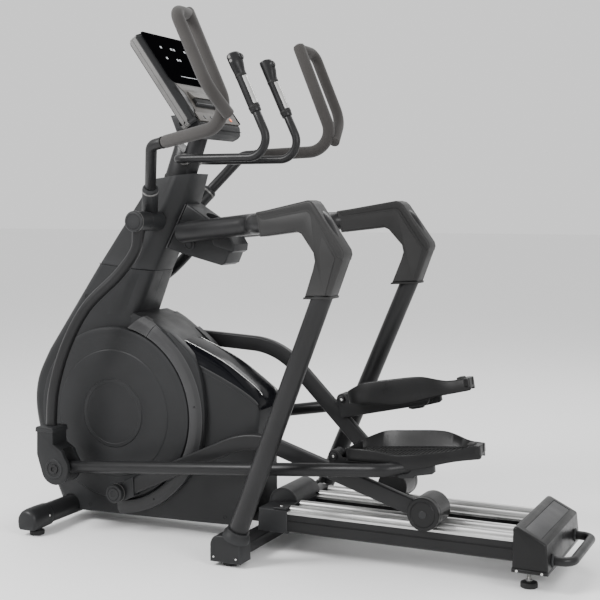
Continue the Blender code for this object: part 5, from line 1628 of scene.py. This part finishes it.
def build_pedal_arm(label, side, matrix):
    body = label + "_pedal_arm"
    drop = -PEDAL_TUBE_DROP
    eye_x = -(PEDAL_ARM_LENGTH ** 2 - PEDAL_TUBE_DROP ** 2) ** 0.5
    path = bent(sided([(eye_x + 0.018, PEDAL_TUBE_Y, drop, 0.0), (0.185, PEDAL_TUBE_Y, drop, 0.080),
                       (0.262, 0.176, drop, 0.0)], side), radians(5.0))
    show(local_tube("pedal_tube_" + label, path, 0.0208, matrix, 40), "satin", body, "pedal_arm_" + label)
    eye = [(0.0, 0.2310), (0.0225, 0.2310), (0.0238, 0.2322), (0.0238, 0.2678), (0.0225, 0.2690),
           (0.0, 0.2690)]
    show(local_lathe("arm_eye_" + label, eye, eye_x, drop, side, matrix), "casing", body)
    ear = arc((0.0, 0.0), 0.0198, 60.0, 200.0, 16)
    ear += [(-0.0145, -0.0560), (-0.0080, -0.0605), (0.0120, -0.0615), (0.2980, -0.0460), (0.3100, -0.0300),
            (0.3118, -0.0048), (0.0300, -0.0048), (0.0200, 0.0060)]
    for name, span in (("inner", (0.1347, 0.1389)), ("outer", (0.1811, 0.1853))):
        show(local_prism(f"pedal_cheek_{name}_{label}", ear, pair(side, span), matrix, 0.0012), "tube", body)
    floor = [(0.0420, -0.0560), (0.2960, -0.0430), (0.2960, -0.0390), (0.0420, -0.0515)]
    show(local_prism("pedal_channel_" + label, floor, pair(side, (0.1388, 0.1812)), matrix, 0.0008, 1),
         "tube", body)
    deck = [(0.0400, -0.0095), (0.3100, -0.0095), (0.3100, -0.0047), (0.0400, -0.0047)]
    show(local_prism("pedal_deck_" + label, deck, pair(side, (0.1350, 0.1850)), matrix, 0.0006, 1), "tube",
         body)
    block = [(0.212, -0.0600), (0.226, -0.0640), (0.262, -0.0620), (0.268, -0.0560), (0.322, -0.0500),
             (0.330, -0.0440),
             (0.330, -0.0050), (0.212, -0.0050)]
    show(local_prism("pedal_block_" + label, block, pair(side, (0.1860, 0.2060)), matrix, 0.004, 3),
         "casing", body)
    for name, start, sign in (("outer", 0.1855, 1.0), ("inner", 0.1345, -1.0)):
        bolt = [(0.0, 0.0), (0.0125, 0.0), (0.0125, 0.0015), (0.0110, 0.0060), (0.0085, 0.0072),
                (0.0050, 0.0072),
                (0.0046, 0.0030), (0.0, 0.0030)]
        place = across(0.0, 0.0, side) @ Matrix.Translation((0.0, 0.0, start))
        if sign < 0.0:
            place = place @ Matrix.Rotation(pi, 4, "X")
        show(move(lathe(f"pivot_bolt_{name}_{label}", bolt, place, 36), matrix), "satin", body)
    shaft = [(0.0, 0.1300), (0.0058, 0.1300), (0.0058, 0.1900), (0.0, 0.1900)]
    show(local_lathe("pivot_shaft_" + label, shaft, 0.0, 0.0, side, matrix, 24), "steel", body)
    build_pedal(label, side, matrix)


# Across the pedal. Each station gives X, the inner and outer |Y|, the tops of the inner and outer walls, and
# the lower edges of the inner and outer skirts.
PEDAL_STATIONS = (
    (0.0460, 0.0900, 0.1920, 0.027, 0.027, -0.0070, -0.0070),
    (0.0475, 0.0820, 0.2010, 0.030, 0.029, -0.0090, -0.0090),
    (0.0580, 0.0680, 0.2140, 0.034, 0.030, -0.0105, -0.0110),
    (0.0900, 0.0535, 0.2205, 0.046, 0.030, -0.0110, -0.0125),
    (0.1250, 0.0460, 0.2230, 0.056, 0.0285, -0.0125, -0.0140),
    (0.1600, 0.0450, 0.2238, 0.0575, 0.0235, -0.0170, -0.0175),
    (0.1900, 0.0450, 0.2240, 0.0575, 0.0165, -0.0235, -0.0240),
    (0.2150, 0.0452, 0.2238, 0.0575, 0.0120, -0.0280, -0.0300),
    (0.2500, 0.0455, 0.2225, 0.0575, 0.0120, -0.0290, -0.0325),
    (0.2900, 0.0460, 0.2195, 0.0570, 0.0130, -0.0250, -0.0300),
    (0.3300, 0.0480, 0.2115, 0.0530, 0.0145, -0.0190, -0.0235),
    (0.3650, 0.0530, 0.2005, 0.0420, 0.0165, -0.0150, -0.0175),
    (0.3950, 0.0650, 0.1875, 0.0320, 0.0190, -0.0135, -0.0145),
    (0.4200, 0.0800, 0.1760, 0.0290, 0.0240, -0.0130, -0.0135),
    (0.4400, 0.0920, 0.1670, 0.0290, 0.0280, -0.0125, -0.0130),
    (0.4590, 0.1040, 0.1610, 0.0280, 0.0275, -0.0115, -0.0120),
    (0.4620, 0.1120, 0.1540, 0.0250, 0.0250, -0.0080, -0.0085),
)


def pedal_section(inner, outer, inner_wall, outer_wall, inner_skirt, outer_skirt, floor=0.0045, wall=0.0065):
    """One slice across a pedal, from the outer skirt over both walls to the inner skirt."""
    low = -0.0042
    return [(outer - 0.020, low), (outer - 0.0085, low), (outer - 0.0050, outer_skirt + 0.0010),
            (outer - 0.0025, outer_skirt), (outer - 0.0005, outer_skirt + 0.0015),
            (outer, outer_skirt + 0.0040),
            (outer, outer_wall - 0.0040), (outer - 0.0018, outer_wall - 0.0008),
            (outer - wall * 0.6, outer_wall),
            (outer - wall, outer_wall - 0.0020), (outer - wall - 0.0030, floor + 0.0040),
            (outer - wall - 0.0080, floor), (inner + wall + 0.0080, floor),
            (inner + wall + 0.0030, floor + 0.0040),
            (inner + wall, inner_wall - 0.0020), (inner + wall * 0.6, inner_wall),
            (inner + 0.0018, inner_wall - 0.0008), (inner, inner_wall - 0.0040),
            (inner, inner_skirt + 0.0040),
            (inner + 0.0005, inner_skirt + 0.0015), (inner + 0.0025, inner_skirt),
            (inner + 0.0050, inner_skirt + 0.0010), (inner + 0.0085, low), (inner + 0.0200, low)]


def pedal_at(x):
    """The pedal's station values at a place along it, between the listed ones."""
    for before, after in zip(PEDAL_STATIONS, PEDAL_STATIONS[1:]):
        if x <= after[0]:
            t = max(0.0, (x - before[0]) / (after[0] - before[0]))
            return [a + (b - a) * t for a, b in zip(before[1:], after[1:])]
    return list(PEDAL_STATIONS[-1][1:])


def build_pedal(label, side, matrix):
    body = label + "_pedal_arm"
    stations = smooth([Vector(station) for station in PEDAL_STATIONS], 3)
    rings = [[(s[0], side * y, z) for y, z in pedal_section(*s[1:])] for s in stations]
    pedal = move(loft("pedal_shell_" + label, rings, angle=50.0), matrix)
    show(pedal, "black", body, "pedal_" + label)
    # The floor is closed at both ends by low cross walls
    for name, x0, x1, height in (("front", 0.0475, 0.0560, 0.028), ("tail", 0.4240, 0.4605, 0.0275)):
        values = pedal_at((x0 + x1) / 2.0)
        y0, y1 = sorted(pair(side, (values[0] + 0.002, values[1] - 0.002)))
        wall = box(f"pedal_{name}_wall_{label}", (x0, y0, 0.0), (x1, y1, height), 0.0035, 3)
        show(move(wall, matrix), "black", body)
    build_tread(label, side, matrix, body)
    boss = box("pedal_boss_" + label, (0.4180, *sorted(pair(side, (0.112, 0.150)))[:1], 0.020),
               (0.4400, *sorted(pair(side, (0.112, 0.150)))[1:], 0.0330), 0.0045, 3)
    show(move(boss, matrix), "rubber", body)
    for name, y, sign in (("outer", 0.1600, 1.0), ("inner", 0.1000, -1.0)):
        stud = [(0.0, -0.006), (0.0052, -0.006), (0.0052, 0.0012), (0.0042, 0.0022), (0.0, 0.0024)]
        place = facing((0.4480, side * y, 0.0090), (0.0, side * sign, 0.0))
        show(move(lathe(f"pedal_stud_{name}_{label}", stud, place, 28), matrix), "silver", body)


def build_tread(label, side, matrix, body):
    """A rubber mat with ribs across, and one diagonal rib."""
    model = bmesh.new()

    def slab(corners, low, high):
        bottom = [model.verts.new((x, side * y, low)) for x, y in corners]
        top = [model.verts.new((x, side * y, high)) for x, y in corners]
        model.faces.new(bottom)
        model.faces.new(top[::-1])
        for i in range(len(corners)):
            k = (i + 1) % len(corners)
            model.faces.new((bottom[i], top[i], top[k], bottom[k]))

    stations = [0.066 + 0.024 * i for i in range(15)]
    margin = 0.0195
    inner = [(x, pedal_at(x)[0] + margin) for x in stations]
    outer = [(x, pedal_at(x)[1] - margin) for x in stations]
    slab(inner + outer[::-1], 0.0030, 0.0066)
    for i in range(27):
        x = 0.078 + 0.0122 * i
        values = pedal_at(x)
        slab([(x - 0.0026, values[0] + margin + 0.006), (x + 0.0026, values[0] + margin + 0.006),
              (x + 0.0026, values[1] - margin - 0.006), (x - 0.0026, values[1] - margin - 0.006)], 0.0060,
              0.0088)
    slab([(0.100, 0.142), (0.107, 0.149), (0.372, 0.096), (0.366, 0.089)], 0.0062, 0.0108)
    tread = from_model("pedal_tread_" + label, model)
    show(move(tread, matrix), "rubber", body)


def build_linkage():
    for label, side in SIDES:
        pin, arm_angle, pivot, swing_angle, tube_angle, wheel = linkage_pose(side)
        drawn = atan2(-0.835, -0.293)
        swing = turned_frame(SWING.x, SWING.z, swing_angle - drawn)
        build_swing(label, side, swing)
        build_handle(label, side, swing)
        build_roller_arm(label, side, turned_frame(pin.x, pin.y, arm_angle), arm_angle, wheel)
        build_pedal_arm(label, side, turned_frame(pivot.x, pivot.y, tube_angle))


build_camera()
build_studio()
build_front_base()
build_mid_base()
build_rails()
build_rear_cover()
build_shells()
build_arches()
build_saddle()
build_top_cover()
build_mast_cover()
build_console()
build_post()
build_pulse_bar()
build_bottle_holder()
build_handrails()
build_discs()
build_linkage()
finish_inner_parts()
